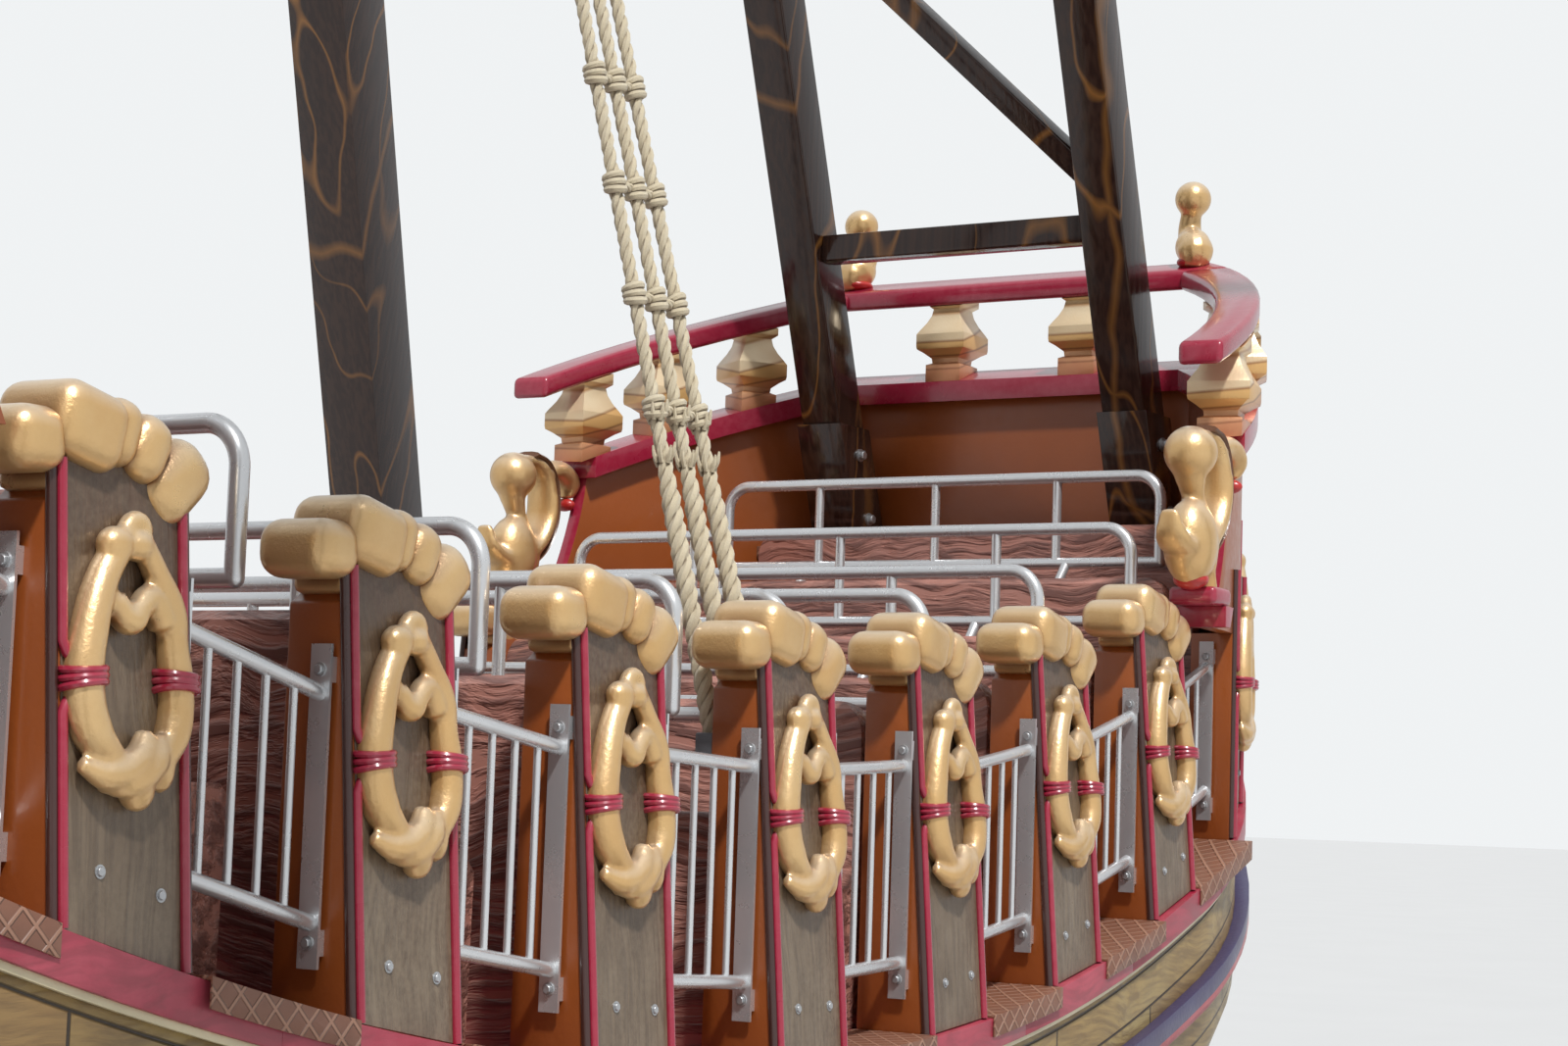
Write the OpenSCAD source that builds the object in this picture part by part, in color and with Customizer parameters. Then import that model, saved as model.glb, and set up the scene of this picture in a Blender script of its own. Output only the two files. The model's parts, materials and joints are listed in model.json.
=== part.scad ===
// Swinging ship fairground ride: a decked hull with castles at both ends, hung from an axle between
// two towers.
// X runs along the ship, Y across it and Z up. The origin is on the ground under the middle of the axle.

/* [Ride] */
// Drop from the axle to the deck amidships
deck_drop = 12000; // [11950:10:12100]
// Clear height below the drive rail at rest
ground_clear = 600; // [580:5:640]
// Radius of the axle shaft
axle_r = 150; // [120:5:180]
// Radial clearance of a shaft in its hole
shaft_gap = 0.1; // [0.05:0.01:0.1]
// Distance between pieces that seat on each other
seat_gap = 0.3; // [0.2:0.05:0.5]

/* [Hull] */
// Radius of the deck's sheer curve
sheer_r = 10000; // [9800:50:10400]
// Half width of the deck amidships
mid_w = 1700; // [1690:5:1720]
// Half width where the ends begin to close in
taper_w = 1630; // [1620:5:1640]
// Distance from amidships to where the ends begin to close in
taper_x = 2900; // [2850:10:2950]
// Half width of the transoms
end_w = 900; // [890:5:910]
// Distance from amidships to the transoms
end_x = 4680; // [4660:5:4720]
// Thickness of the deck slab
deck_t = 100; // [80:5:120]
// How far the deck slab stands out beyond the hull
deck_lip = 30; // [20:2:40]
// Depth of the hull amidships, below the deck
hull_depth = 1030; // [1000:5:1060]
// Distance from amidships to where the bottom starts to rise
keel_flat_x = 3000; // [2800:50:3200]
// Rise of the bottom at the transoms, beyond the arc
keel_lift = 450; // [300:10:600]
// Depth of the drive rail below the hull
rail_depth = 120; // [100:5:130]
// Width of the drive rail
rail_w = 200; // [160:5:240]
// Depth of the cream line below the deck slab
line_h = 18; // [12:1:24]
// Distance of the dark wale below the deck
wale_drop = 350; // [300:10:380]
// Height of the dark wale
wale_h = 85; // [60:5:100]
// Height of the red line under the wale
wale_line_h = 30; // [20:2:40]
// How far the wale stands out
wale_t = 45; // [30:5:60]

/* [Pillars] */
// Distance between pillars
pitch = 920; // [900:5:930]
// Width of a pillar along the ship
pillar_w = 400; // [380:5:420]
// Depth of a pillar at its foot
pillar_d = 250; // [230:5:260]
// Height of a pillar's body
pillar_h = 1150; // [1120:5:1180]
// Lean of a pillar's outer face
tumble = 4.5; // [3:0.25:5.5]
// Height of the lowest point between the cap's rolls, on the middle pillar
cap_level = 1085; // [1070:5:1100]
// How much lower the cap is on the first pillar from the middle, growing with the square of the count
cap_fall = 14; // [8:1:15]
// How far a cap stands out beyond the pillar's outer face
cap_out = 35; // [20:5:50]
// How far a cap stands in beyond the pillar's inner face
cap_in = 25; // [10:5:40]
// Length of the rounding on a cap's outer end
cap_round = 30; // [10:2:40]

/* [Wreaths] */
// Height of a wreath's middle above the deck, on the middle pillar
wreath_mid = 740; // [720:5:745]
// Height of a wreath
wreath_h = 640; // [600:5:660]
// Width of a wreath
wreath_w = 350; // [320:5:370]
// Radius of a wreath's roll
wreath_r = 38; // [30:1:44]
// How deep a wreath's roll is let into the panel
wreath_sink = 12; // [8:1:16]

/* [Entry ways] */
// Thickness of a tread plate
tread_t = 8; // [5:1:10]
// Distance from the hull's side to a tread plate's inner edge
tread_l = 255; // [200:5:260]
// Height of a tread plate's lip
tread_lip = 60; // [40:5:80]
// Thickness of a tread plate's lip
tread_lip_t = 6; // [4:1:8]
// Clearance of a tread plate from the pillars
tread_gap = 6; // [4:1:10]
// Tube radius of a guard grille
grille_r = 20; // [17:1:22]
// Radius of a guard grille's bars
grille_bar_r = 10; // [8:1:12]
// Width of the flat bars of a guard grille
flat_w = 60; // [50:2:70]
// Thickness of the flat bars
flat_t = 8; // [6:1:10]
// Height of the middle guard grilles
grille_h = 830; // [800:10:860]
// Height lost by the grilles further out
grille_step = 40; // [38:1:50]
// Middle of the middle guard grille above the deck
grille_mid = 530; // [520:2:532]
// How much lower the next grille's middle is, growing with the square of the count
grille_fall = 7; // [6:0.5:9]
// Distance of the grilles' cross tubes from the flat bars' ends
grille_end = 110; // [100:2:120]
// Distance of the guard grilles inside the pillar's outer face
grille_in = 100; // [90:5:120]
// Thickness of the lugs behind the flat bars
lug_t = 15; // [12:1:20]
// Height of the lugs
lug_h = 60; // [50:2:70]

/* [Seats] */
// Height of a bench above the deck
bench_h = 450; // [430:5:470]
// Depth of a bench
bench_d = 450; // [430:5:460]
// Height of a seat back above the deck
back_h = 1030; // [1010:5:1040]
// Thickness of a seat back
back_t = 80; // [60:5:90]
// Chamfer of the seats' edges
seat_edge = 25; // [20:1:30]
// How far a bench's front leans out over its foot
bench_toe = 40; // [30:2:50]
// Radius of a seat back's top corners
back_round = 110; // [80:5:140]
// Distance from the hull's side to a seat between the pillars
seat_side = 285; // [280:5:300]
// Distance from the hull's side to a seat in a castle
castle_seat_side = 160; // [150:5:180]
// Half width of the centre console
console_t = 60; // [50:2:70]
// Height of the centre console
console_h = 700; // [680:5:760]

/* [Lap bars] */
// Radius of a lap bar's tube
bar_r = 25; // [20:1:28]
// Height of a lap bar's top tube above the deck
bar_top = 1360; // [1340:5:1380]
// Height of a lap bar's bottom tube above the deck
bar_bottom = 990; // [970:5:1010]
// Distance from the hull's side to a lap bar between the pillars
bar_side = 315; // [310:5:340]
// Distance from the hull's side to a lap bar in a castle
castle_bar_side = 360; // [340:5:400]
// Bend radius of a lap bar's top corners
bar_bend = 110; // [90:5:140]
// Height of a lap bar's hinge above the deck
hinge_up = 750; // [730:5:780]
// Distance from a lap bar to its hinge
hinge_back = 200; // [190:5:220]
// Radius of a hinge pin
pin_r = 15; // [12:1:18]
// Radius of a hinge barrel
barrel_r = 32; // [28:1:36]
// Length of a hinge barrel
barrel_l = 100; // [80:5:120]
// Side clearance of a hinge barrel
barrel_gap = 5; // [5:1:8]
// Thickness of a hinge bracket's ears
ear_t = 12; // [8:1:16]
// Thickness of a hinge bracket's plate
bracket_t = 10; // [8:1:14]
// Distance of a hinge bracket's foot below the hinge
bracket_low = 120; // [115:1:125]
// Distance of the hinges from the ship's middle line
hinge_y = 640; // [630:2:650]

/* [Castles] */
// Distance from amidships to the castles' front posts
castle_x = 3480; // [3470:5:3500]
// Thickness of the castle walls
wall_t = 60; // [50:2:64]
// Height of the quarter posts above the deck amidships
post_top = 1450; // [1420:5:1480]
// Depth of the castles' front posts
post_d = 170; // [160:5:200]
// Distance from amidships to the top of the wings' front edge
wing_x = 3380; // [3370:5:3400]
// How far the wings' front edge curves forward at its foot
wing_foot = 230; // [200:5:240]
// Height of the wings' front edge above the deck amidships
wing_z = 2150; // [2130:5:2180]
// Height of the wings at the transoms
wing_end_z = 2650; // [2620:5:2680]
// Height of a rail
rail_h = 95; // [80:5:100]
// Clear height between the lower and the top rail
baluster_h = 355; // [340:5:370]
// Distance between the balusters
baluster_pitch = 435; // [420:5:440]
// Width of a baluster
baluster_w = 250; // [230:5:260]
// Width of the rails outside the walls
rail_out = 60; // [50:5:70]
// Width of the rails inside the walls
rail_in = 125; // [115:5:135]
// How far the lower rail reaches beyond the wings' front edge
low_nose = 20; // [10:5:30]
// How far the top rail reaches beyond the wings' front edge
nose = 370; // [350:5:380]
// How much wider than the transom an end rail is, on each side
rail_flare = 10; // [5:1:15]
// Height of the castle decks above the deck amidships
poop_h = 1910; // [1890:5:1930]
// Thickness of the castle decks
poop_t = 60; // [40:5:80]
// Clearance of the castle decks from the walls
poop_gap = 2; // [1:0.5:4]
// Radius of the balls on the wings
ball_r = 105; // [95:5:110]
// Outer radius of a wing's scroll
scroll_r = 260; // [250:5:270]
// Distance from amidships to the middle of a wing's scroll
scroll_x = 2860; // [2850:5:2870]
// Height of the middle of a wing's scroll above the deck amidships
scroll_z = 1880; // [1870:5:1900]
// Width of a wing's scroll across the ship
scroll_w = 180; // [160:5:200]
// Height of the block that carries a wing's scroll
block_h = 80; // [70:5:90]
// Length of the block in front of the wing's foot, where the last cap leaves room for it
block_l = 100; // [90:5:105]
// Radius of the scrolls' feet
foot_r = 45; // [40:1:48]
// Outer radius of a corner scroll
corner_r = 170; // [150:5:180]
// Distance of a corner scroll from the transom and from the corner
corner_in = 30; // [25:1:35]
// Radius of the balls on the corner scrolls
small_ball_r = 85; // [75:5:90]

/* [Hangers] */
// Distance from amidships to the hangers' feet
hanger_x = 4470; // [4450:5:4475]
// Distance of the hangers from the middle line
hanger_y = 760; // [750:5:765]
// Distance of the hangers from amidships at the axle
hanger_top_x = 913; // [900:5:930]
// Width of a hanger
hanger_w = 220; // [200:5:230]
// Depth of a hanger across the ship
hanger_d = 200; // [180:5:210]
// Height of the sleeve round a hanger's foot
sleeve_h = 550; // [500:10:600]
// Plate thickness of the sleeves
sleeve_t = 18; // [14:1:20]
// Width of the bars that tie the hangers
tie_w = 120; // [100:5:130]
// Height of the lower crossbar above the deck amidships
cross_z = 3240; // [3200:10:3300]
// Height of the collar ties above the deck amidships
collar_z = 6100; // [6000:10:6200]
// Height of the brace's lower end above the deck amidships
brace_low_z = 3490; // [3450:10:3550]
// Height of the brace's upper end above the deck amidships
brace_high_z = 4810; // [4700:10:4900]
// Width of a brace
brace_w = 100; // [80:5:110]
// Radius of the hub tube
hub_r = 260; // [240:5:280]
// Half length of the hub tube
hub_half = 1540; // [1500:10:1560]
// Half length of the hub's cheek plates along the ship
cheek_x = 1330; // [1300:10:1360]
// Thickness of the hub's cheek plates
cheek_t = 30; // [20:2:40]

/* [Towers] */
// Distance of the tower feet from amidships
foot_x = 6000; // [5950:10:6050]
// Distance of the tower feet from the middle line
foot_y = 4200; // [4150:10:4250]
// Distance of the legs' tops from amidships
leg_top_x = 420; // [410:5:430]
// Distance of the towers' heads from the middle line
head_y = 1850; // [1840:5:1870]
// Width of a tower leg
leg_w = 330; // [300:5:340]
// Drop from the axle to the heads' flanges
head_drop = 700; // [690:5:710]
// Length of a head along the axle
head_l = 500; // [460:10:520]
// Radius of a head
head_r = 430; // [400:10:450]
// Half width of a head's flange
flange_x = 800; // [780:5:820]
// Width of a base plate
plate_w = 700; // [680:10:740]
// Thickness of a base plate
plate_t = 30; // [25:1:40]
// Distance between anchor holes
anchor_pitch = 560; // [540:10:580]
// Radius of an anchor hole
anchor_r = 18; // [14:1:22]

/* [Drive] */
// Radius of the drive tyre
tyre_r = 250; // [230:5:260]
// Width of the drive tyre
tyre_w = 200; // [180:5:220]
// Radius of the drive wheel's axle
drive_axle_r = 30; // [25:1:35]
// Clearance of the tyre below the drive rail
tyre_gap = 18; // [15:1:25]
// Half distance between the drive's side plates
drive_side = 125; // [120:1:135]
// Radius of the drive motor
motor_r = 150; // [130:5:160]
// Length of the drive motor
motor_l = 380; // [340:10:420]

// Length of the drive's base plate along the ship
drive_base_x = 1200; // [1000:20:1400]
// Width of the ground beams
ground_w = 200; // [160:10:220]
// Height of the ground beams
ground_h = 160; // [120:10:180]

/* [Rope ladder] */
// Radius of a rope
rope_r = 22; // [18:1:26]
// Distance between the ropes at the foot
rope_gap = 135; // [120:5:150]
// Height of the ropes' foot above the deck
rope_foot = 900; // [850:10:930]
// Depth of the clamp at the ropes' foot
clamp_d = 60; // [50:2:70]
// Height of the spliced stretch above the ropes' foot
splice_h = 850; // [800:10:900]
// Height of the first cross rope above the ropes' foot
tie_start = 1000; // [900:10:1100]
// Distance between the cross ropes
tie_pitch = 350; // [320:5:380]

/* [Hidden] */

// Rows of one end, from the middle outwards: [seat back x, lap bar x]
ROWS = [[800, 310], [1720, 1230], [2640, 2150], [3550, 3050], [4230, 3880]];
// Rolls of a cap, as shares of the pillar's width: [x, height above the cap level, radius]
ROLLS = [[-0.588, 0.155, 0.23], [-0.262, 0.33, 0.27], [-0.05, 0.26, 0.205], [0.155, 0.245, 0.23],
    [0.375, 0.12, 0.26], [0.5, -0.045, 0.195]];
// Section of the hull: [share of the half width, share of the depth]
SECTION = [[1, 0], [1, 0.52], [0.955, 0.68], [0.86, 0.81], [0.67, 0.91], [0.4, 0.97], [0.1, 1]];
// Half outline of a baluster: [share of the width, share of the height]
VASE = [[0.72, 0], [0.72, 0.13], [0.54, 0.16], [0.56, 0.22], [0.8, 0.29], [0.98, 0.33], [1, 0.37], [1, 0.53],
    [0.9, 0.59], [0.72, 0.69], [0.59, 0.79], [0.54, 0.88], [0.72, 0.93], [0.72, 1]];

// Half outline of a hub cheek, as shares of its half length, from its foot up
CHEEK = [[0.977, -0.42], [1, -0.36], [0.797, 0.226], [0.722, 0.27]];

keel_r = deck_drop + hull_depth;
rail_r = keel_r + rail_depth;
axle_h = rail_r + ground_clear;
deck_z = axle_h - deck_drop;
sheer_c = deck_z + sheer_r;
end_r = (pow(end_x - taper_x, 2) + pow(taper_w - end_w, 2)) / (2 * (taper_w - end_w));
poop_z = deck_z + poop_h;
stations = 32;
big = 3000;
round_fn = 96;
tube_fn = 48;
small_fn = 32;
wreath_mid_r = wreath_w / 2 - wreath_r;
wreath_straight = wreath_h / 2 - wreath_r - wreath_mid_r;
lean = (hanger_x - hanger_top_x) / (axle_h - poop_z);
hanger_half = hanger_w / 2 * sqrt(1 + lean * lean);
wing_slope = (wing_end_z - wing_z) / (end_x - wing_x);
tyre_z = axle_h - rail_r - tyre_gap - tyre_r;
collar_half = hanger_at(deck_z + collar_z) - tie_w / 2;
pillar_rows = [-3, -2, -1, 0, 1, 2, 3];
block_x = max(wing_x - wing_foot - block_l, 3 * pitch + (ROLLS[0][2] - ROLLS[0][0]) * pillar_w + 2);
rail_stations = floor(stations * keel_flat_x / end_x);

// Half width of the ship's plan at x, moved outwards by off
function half_w(x, off = 0) =
    abs(x) <= taper_x ? mid_w - (mid_w - taper_w) * pow(x / taper_x, 2) + off
    : taper_w - end_r + sqrt(pow(end_r + off, 2) - pow(abs(x) - taper_x, 2));
// Height of the surface that lies off above the deck, at x
function sheer_z(x, off = 0) = sheer_c - sqrt(pow(sheer_r - off, 2) - x * x);
// Height of the hull's bottom at x
function keel_z(x) = axle_h - sqrt(keel_r * keel_r - x * x)
    + (abs(x) > keel_flat_x ? keel_lift * pow((abs(x) - keel_flat_x) / (end_x - keel_flat_x), 2) : 0);
function station(i) = end_x * i / stations;
// Middle of a hanger at height z
function hanger_at(z) = hanger_x - lean * (z - poop_z);
// Height of the wings' top edge at x
function wing_top(x) = deck_z + wing_z + wing_slope * (x - wing_x);
// Distance from amidships to the wings' front edge, u of the way up from its foot
function wing_front_x(u) = wing_x - wing_foot * pow(1 - u, 1.5);
function row_z(k) = sheer_z(ROWS[k][1]);
// Half width of a lap bar, in whole steps of 5 mm
function bar_half(k) = 5 * floor((half_w(ROWS[k][1]) - (k < 4 ? bar_side : castle_bar_side)) / 5);
// Height of the cap's lowest point between its rolls, above the deck, on pillar i
function cap_at(i) = cap_level - cap_fall * i * i;
function hinge_x(k) = ROWS[k][1] - hinge_back - (k == 4 ? 20 : 0);
function seat_half(k) = half_w(ROWS[k][0]) - (k < 4 ? seat_side : castle_seat_side);
// Point where a line from p touches a circle of radius r about the origin, on the side given by s
function touch(p, r, s) = let(a = atan2(p.y, p.x) + s * acos(r / norm(p))) r * [cos(a), sin(a)];

module along_x(x0, x1) translate([x0, 0, 0]) rotate([90, 0, 90]) linear_extrude(x1 - x0) children();
module along_y(y0, y1) translate([0, y1, 0]) rotate([90, 0, 0]) linear_extrude(y1 - y0) children();
module both_ends() { children(); mirror([1, 0, 0]) children(); }
module both_sides() { children(); mirror([0, 1, 0]) children(); }

// Everything that lies more than off above the deck
module above_deck(off) along_y(-big, big) polygon(concat(
    [for (i = [-stations - 2 : stations + 2]) [station(i), sheer_z(station(i), off)]],
    [[station(stations + 2), axle_h], [station(-stations - 2), axle_h]]));

// Band that follows the deck, from off0 to off1 above it
module sheer_band(off0, off1) along_y(-big, big) polygon(concat(
    [for (i = [-stations - 2 : stations + 2]) [station(i), sheer_z(station(i), off0)]],
    [for (i = [stations + 2 : -1 : -stations - 2]) [station(i), sheer_z(station(i), off1)]]));

// Plan of the ship, moved outwards by off
module plan(off) polygon(concat(
    [for (i = [-stations : stations]) [station(i) * (end_x + off) / end_x, half_w(station(i), off)]],
    [for (i = [stations : -1 : -stations]) [station(i) * (end_x + off) / end_x, -half_w(station(i), off)]]));

// Plan of one side of a castle, from x0 to x1, between out outside the ship's line and in inside it
module side_plan(x0, x1, out, in) polygon(concat(
    [for (i = [0 : 12]) let(x = x0 + (x1 - x0) * i / 12) [x, -half_w(x, out)]],
    [for (i = [12 : -1 : 0]) let(x = x0 + (x1 - x0) * i / 12) [x, -half_w(x, -in)]]));

module beam(p, q, w, d) {
    v = q - p;
    l = norm(v);
    translate(p) rotate([-asin(v.y / l), atan2(v.x, v.z), 0]) translate([-w / 2, -d / 2, 0]) cube([w, d, l]);
}

module rod(p, q, r, fn = small_fn) {
    v = q - p;
    l = norm(v);
    translate(p) rotate([-asin(v.y / l), atan2(v.x, v.z), 0]) cylinder(r = r, h = l, $fn = fn);
}

// Towers

module leg(sx, sy) color("#3b2620") {
    foot = [sx * foot_x, sy * foot_y, 0];
    top = [sx * leg_top_x, sy * head_y, axle_h - head_drop];
    intersection() {
        beam(foot - (top - foot) * 0.05, top + (top - foot) * 0.05, leg_w, leg_w);
        translate([-2 * foot_x, -2 * foot_y, plate_t / 2])
            cube([4 * foot_x, 4 * foot_y, axle_h - head_drop - plate_t / 2]);
    }
    translate([foot.x, foot.y, 0]) difference() {
        translate([-plate_w / 2, -plate_w / 2, 0]) cube([plate_w, plate_w, plate_t]);
        for (ax = [-1, 1], ay = [-1, 1]) translate([ax, ay, 0] * anchor_pitch / 2)
            translate([0, 0, -1]) cylinder(r = anchor_r, h = plate_t + 2, $fn = small_fn);
    }
}

module head_outline() {
    low = [flange_x, -head_drop];
    t = touch(low, head_r, 1);
    circle(r = head_r, $fn = round_fn);
    polygon([low, t, [-t.x, t.y], [-low.x, low.y]]);
}

module tower_heads() color("#3b2620") both_sides()
    translate([0, 0, axle_h]) difference() {
        along_y(head_y - head_l / 2, head_y + head_l / 2) head_outline();
        rotate([90, 0, 0]) cylinder(r = axle_r + shaft_gap, h = 2 * big, center = true, $fn = round_fn);
    }

module axle() color("#5a5652") translate([0, 0, axle_h]) rotate([90, 0, 0]) {
    half = head_y + head_l / 2;
    cylinder(r = axle_r, h = 2 * half + 2 * collar_l(), center = true, $fn = round_fn);
    for (s = [-1, 1]) translate([0, 0, s * (half + seat_gap + collar_l() / 2)])
        cylinder(r = axle_r * 1.5, h = collar_l() - 2 * seat_gap, center = true, $fn = round_fn);
}
function collar_l() = 60;

// Drive

module ground_frame() color("#3b2620") {
    side = foot_x - plate_w / 2 - seat_gap;
    both_sides() translate([-side, foot_y - ground_w / 2, 0]) cube([2 * side, ground_w, ground_h]);
    cross = foot_y - ground_w / 2 - seat_gap;
    both_ends() translate([drive_base_x / 2 + seat_gap, -cross, 0]) cube([ground_w, 2 * cross, ground_h]);
}

module drive_frame() color("#3a3c40") {
    base_t = 20;
    base_y = [-450, 550];
    stand_foot = 260;
    stand_r = 60;
    stand = [drive_side, drive_side + 20];
    translate([-drive_base_x / 2, base_y[0], 0]) cube([drive_base_x, base_y[1] - base_y[0], base_t]);
    for (s = [-1, 1]) translate([0, s > 0 ? 0 : -stand[0] - stand[1], 0])
        along_y(stand[0], stand[1]) {
            polygon([[-stand_foot, base_t / 2], [stand_foot, base_t / 2],
                [stand_r, tyre_z], [-stand_r, tyre_z]]);
            translate([0, tyre_z]) circle(r = stand_r, $fn = tube_fn);
        }
    translate([0, 0, tyre_z]) rotate([-90, 0, 0]) translate([0, 0, -stand[1] - 20])
        cylinder(r = drive_axle_r, h = 2 * stand[1] + 40, $fn = tube_fn);
    translate([0, stand[1] - 1, tyre_z]) rotate([-90, 0, 0])
        cylinder(r = motor_r, h = motor_l, $fn = round_fn);
    translate([-120, stand[1] + 60, base_t / 2]) cube([240, motor_l - 120, tyre_z - motor_r]);
}

module drive_wheel() color("#1d1d1f") translate([0, 0, tyre_z]) rotate([90, 0, 0]) difference() {
    union() {
        rotate_extrude($fn = round_fn) polygon([
            [tyre_r * 0.5, -tyre_w * 0.46], [tyre_r * 0.8, -tyre_w * 0.5], [tyre_r * 0.94, -tyre_w * 0.46],
            [tyre_r, -tyre_w * 0.36], [tyre_r, tyre_w * 0.36], [tyre_r * 0.94, tyre_w * 0.46],
            [tyre_r * 0.8, tyre_w * 0.5], [tyre_r * 0.5, tyre_w * 0.46]]);
        cylinder(r = tyre_r * 0.55, h = tyre_w * 0.3, center = true, $fn = round_fn);
        cylinder(r = drive_axle_r * 2, h = 2 * drive_side - 10, center = true, $fn = tube_fn);
    }
    cylinder(r = drive_axle_r + shaft_gap, h = tyre_w * 3, center = true, $fn = tube_fn);
}

// Hull

function section_top(x) = sheer_z(x, -deck_t - seat_gap);
function ring(x) = let(top = section_top(x), deep = top - keel_z(x), w = half_w(x)) concat(
    [for (s = SECTION) [x, -w * s[0], top - deep * s[1]]],
    [for (i = [len(SECTION) - 1 : -1 : 0]) [x, w * SECTION[i][0], top - deep * SECTION[i][1]]]);

module hull() color("#a99a4c") {
    n = 2 * len(SECTION);
    count = 2 * stations + 1;
    points = [for (i = [-stations : stations]) each ring(station(i))];
    sides = [for (i = [0 : count - 2], j = [0 : n - 1]) let(a = i * n + j, b = i * n + (j + 1) % n)
        each [[a, b, b + n], [a, b + n, a + n]]];
    caps = [[for (j = [n - 1 : -1 : 0]) j], [for (j = [0 : n - 1]) (count - 1) * n + j]];
    polyhedron(points, concat(sides, caps), convexity = 4);
}

module strake(off0, off1, out) intersection() {
    sheer_band(off0, off1);
    linear_extrude(axle_h) difference() {
        plan(out);
        plan(seat_gap);
    }
}

module wales() {
    line = -deck_t - seat_gap;
    foot = -wale_drop - wale_h;
    color("#efe2b0") strake(line - line_h, line, deck_lip * 0.6);
    color("#2a2450") strake(foot, -wale_drop, wale_t);
    color("#b01c30") strake(foot - seat_gap - wale_line_h, foot - seat_gap, wale_t * 0.6);
}

module keel_rail() color("#50545a") along_y(-rail_w / 2, rail_w / 2) polygon(concat(
    [for (i = [-rail_stations : rail_stations]) [station(i), keel_z(station(i)) - seat_gap]],
    [for (i = [rail_stations : -1 : -rail_stations])
        [station(i), axle_h - sqrt(rail_r * rail_r - pow(station(i), 2))]]));

// The deck lies in sections, with a pillar on the middle of each
module deck() color("#8c1b35") difference() {
    intersection() {
        sheer_band(-deck_t, 0);
        linear_extrude(axle_h) plan(deck_lip);
    }
    for (i = [-5 : 4]) translate([(i + 0.5) * pitch - seat_gap / 2, -big, 0])
        cube([seat_gap, 2 * big, axle_h]);
}

module tread(i) {
    x0 = (i - 0.5) * pitch - (pitch - pillar_w) / 2 + tread_gap;
    x1 = (i - 0.5) * pitch + (pitch - pillar_w) / 2 - tread_gap;
    out = half_w(min(abs(x0), abs(x1)) - deck_lip, deck_lip) + seat_gap + tread_lip_t;
    in = half_w(max(abs(x0), abs(x1))) - tread_l;
    intersection() {
        sheer_band(seat_gap, seat_gap + tread_t);
        translate([x0, -out, 0]) cube([x1 - x0, out - in, axle_h]);
    }
    intersection() {
        sheer_band(-tread_lip, seat_gap + tread_t);
        translate([x0, -out, 0]) cube([x1 - x0, tread_lip_t, axle_h]);
    }
}

module entry_treads() color("#8a5a34") both_sides() for (i = [-3 : 4]) tread(i);

// Pillars

module cap_outline(level, grow = 0) for (r = ROLLS) translate([r[0] * pillar_w, level + r[1] * pillar_w])
    circle(r = r[2] * pillar_w + grow, $fn = tube_fn);

module at_pillar(i) translate([i * pitch, -half_w(i * pitch), sheer_z(i * pitch)]) children();

// Everything above the line through the middles of a cap's rolls
module above_rolls(level) polygon(concat([[-pillar_w, level]],
    [for (r = ROLLS) [r[0] * pillar_w, level + r[1] * pillar_w]],
    [[pillar_w, level + ROLLS[5][1] * pillar_w], [pillar_w, pillar_h * 2], [-pillar_w, pillar_h * 2]]));

module pillar(i) intersection() {
    at_pillar(i) difference() {
        along_x(-pillar_w / 2, pillar_w / 2) polygon([
            [-pillar_d * tan(tumble), -pillar_d], [pillar_h * tan(tumble), pillar_h],
            [pillar_d, pillar_h], [pillar_d, -pillar_d]]);
        along_y(-pillar_d, 2 * pillar_d) cap_outline(cap_at(i), seat_gap);
        along_y(-pillar_d, 2 * pillar_d) above_rolls(cap_at(i));
    }
    above_deck(seat_gap);
}

module pillars_port() color("#8b8376") for (i = pillar_rows) pillar(i);
module pillars_stbd() color("#8b8376") mirror([0, 1, 0]) for (i = pillar_rows) pillar(i);

module cap(i) at_pillar(i) {
    out = cap_at(i) * tan(tumble) - cap_out;
    in = pillar_d + cap_in;
    along_y(out + cap_round, in) cap_outline(cap_at(i));
    along_y(out, out + 2 * cap_round) cap_outline(cap_at(i), -cap_round / 3);
}

module caps_port() color("#c8a050") for (i = pillar_rows) cap(i);
module caps_stbd() color("#c8a050") mirror([0, 1, 0]) for (i = pillar_rows) cap(i);

// Centre of a wreath's roll at angle a round it
function wreath_at(a) = wreath_mid_r * [cos(a), sin(a)] + [0, (sin(a) > 0 ? 1 : -1) * wreath_straight];
// The roll swells into folds at the foot and into a knot at the top
function wreath_swell(a) = wreath_r * (1 + 0.28 * pow(abs(sin(a)), 6));

module wreath() {
    turns = 24;
    sides = 6;
    points = [for (i = [0 : turns - 1])
        let(a = (i + 0.5) * 360 / turns, c = wreath_at(a) + [0, wreath_mid], r = wreath_swell(a))
        for (j = [0 : sides - 1]) let(b = j * 180 / (sides - 1), q = r * cos(b))
            [c.x + q * cos(a), -seat_gap - (2 * r - wreath_sink) * sin(b), c.y + q * sin(a)]];
    faces = [for (i = [0 : turns - 1], j = [0 : sides - 1])
        let(p = i * sides + j, q = i * sides + (j + 1) % sides,
            n = (i + 1) % turns * sides + j, m = (i + 1) % turns * sides + (j + 1) % sides)
        each [[p, q, m], [p, m, n]]];
    polyhedron(points, faces, convexity = 4);
}

module wreath_row() for (i = pillar_rows) at_pillar(i) rotate([-tumble, 0, 0])
    translate([0, 0, -cap_fall * i * i]) wreath();
module wreaths_port() color("#c8a860") wreath_row();
module wreaths_stbd() color("#c8a860") mirror([0, 1, 0]) wreath_row();

// Guard grilles

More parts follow.
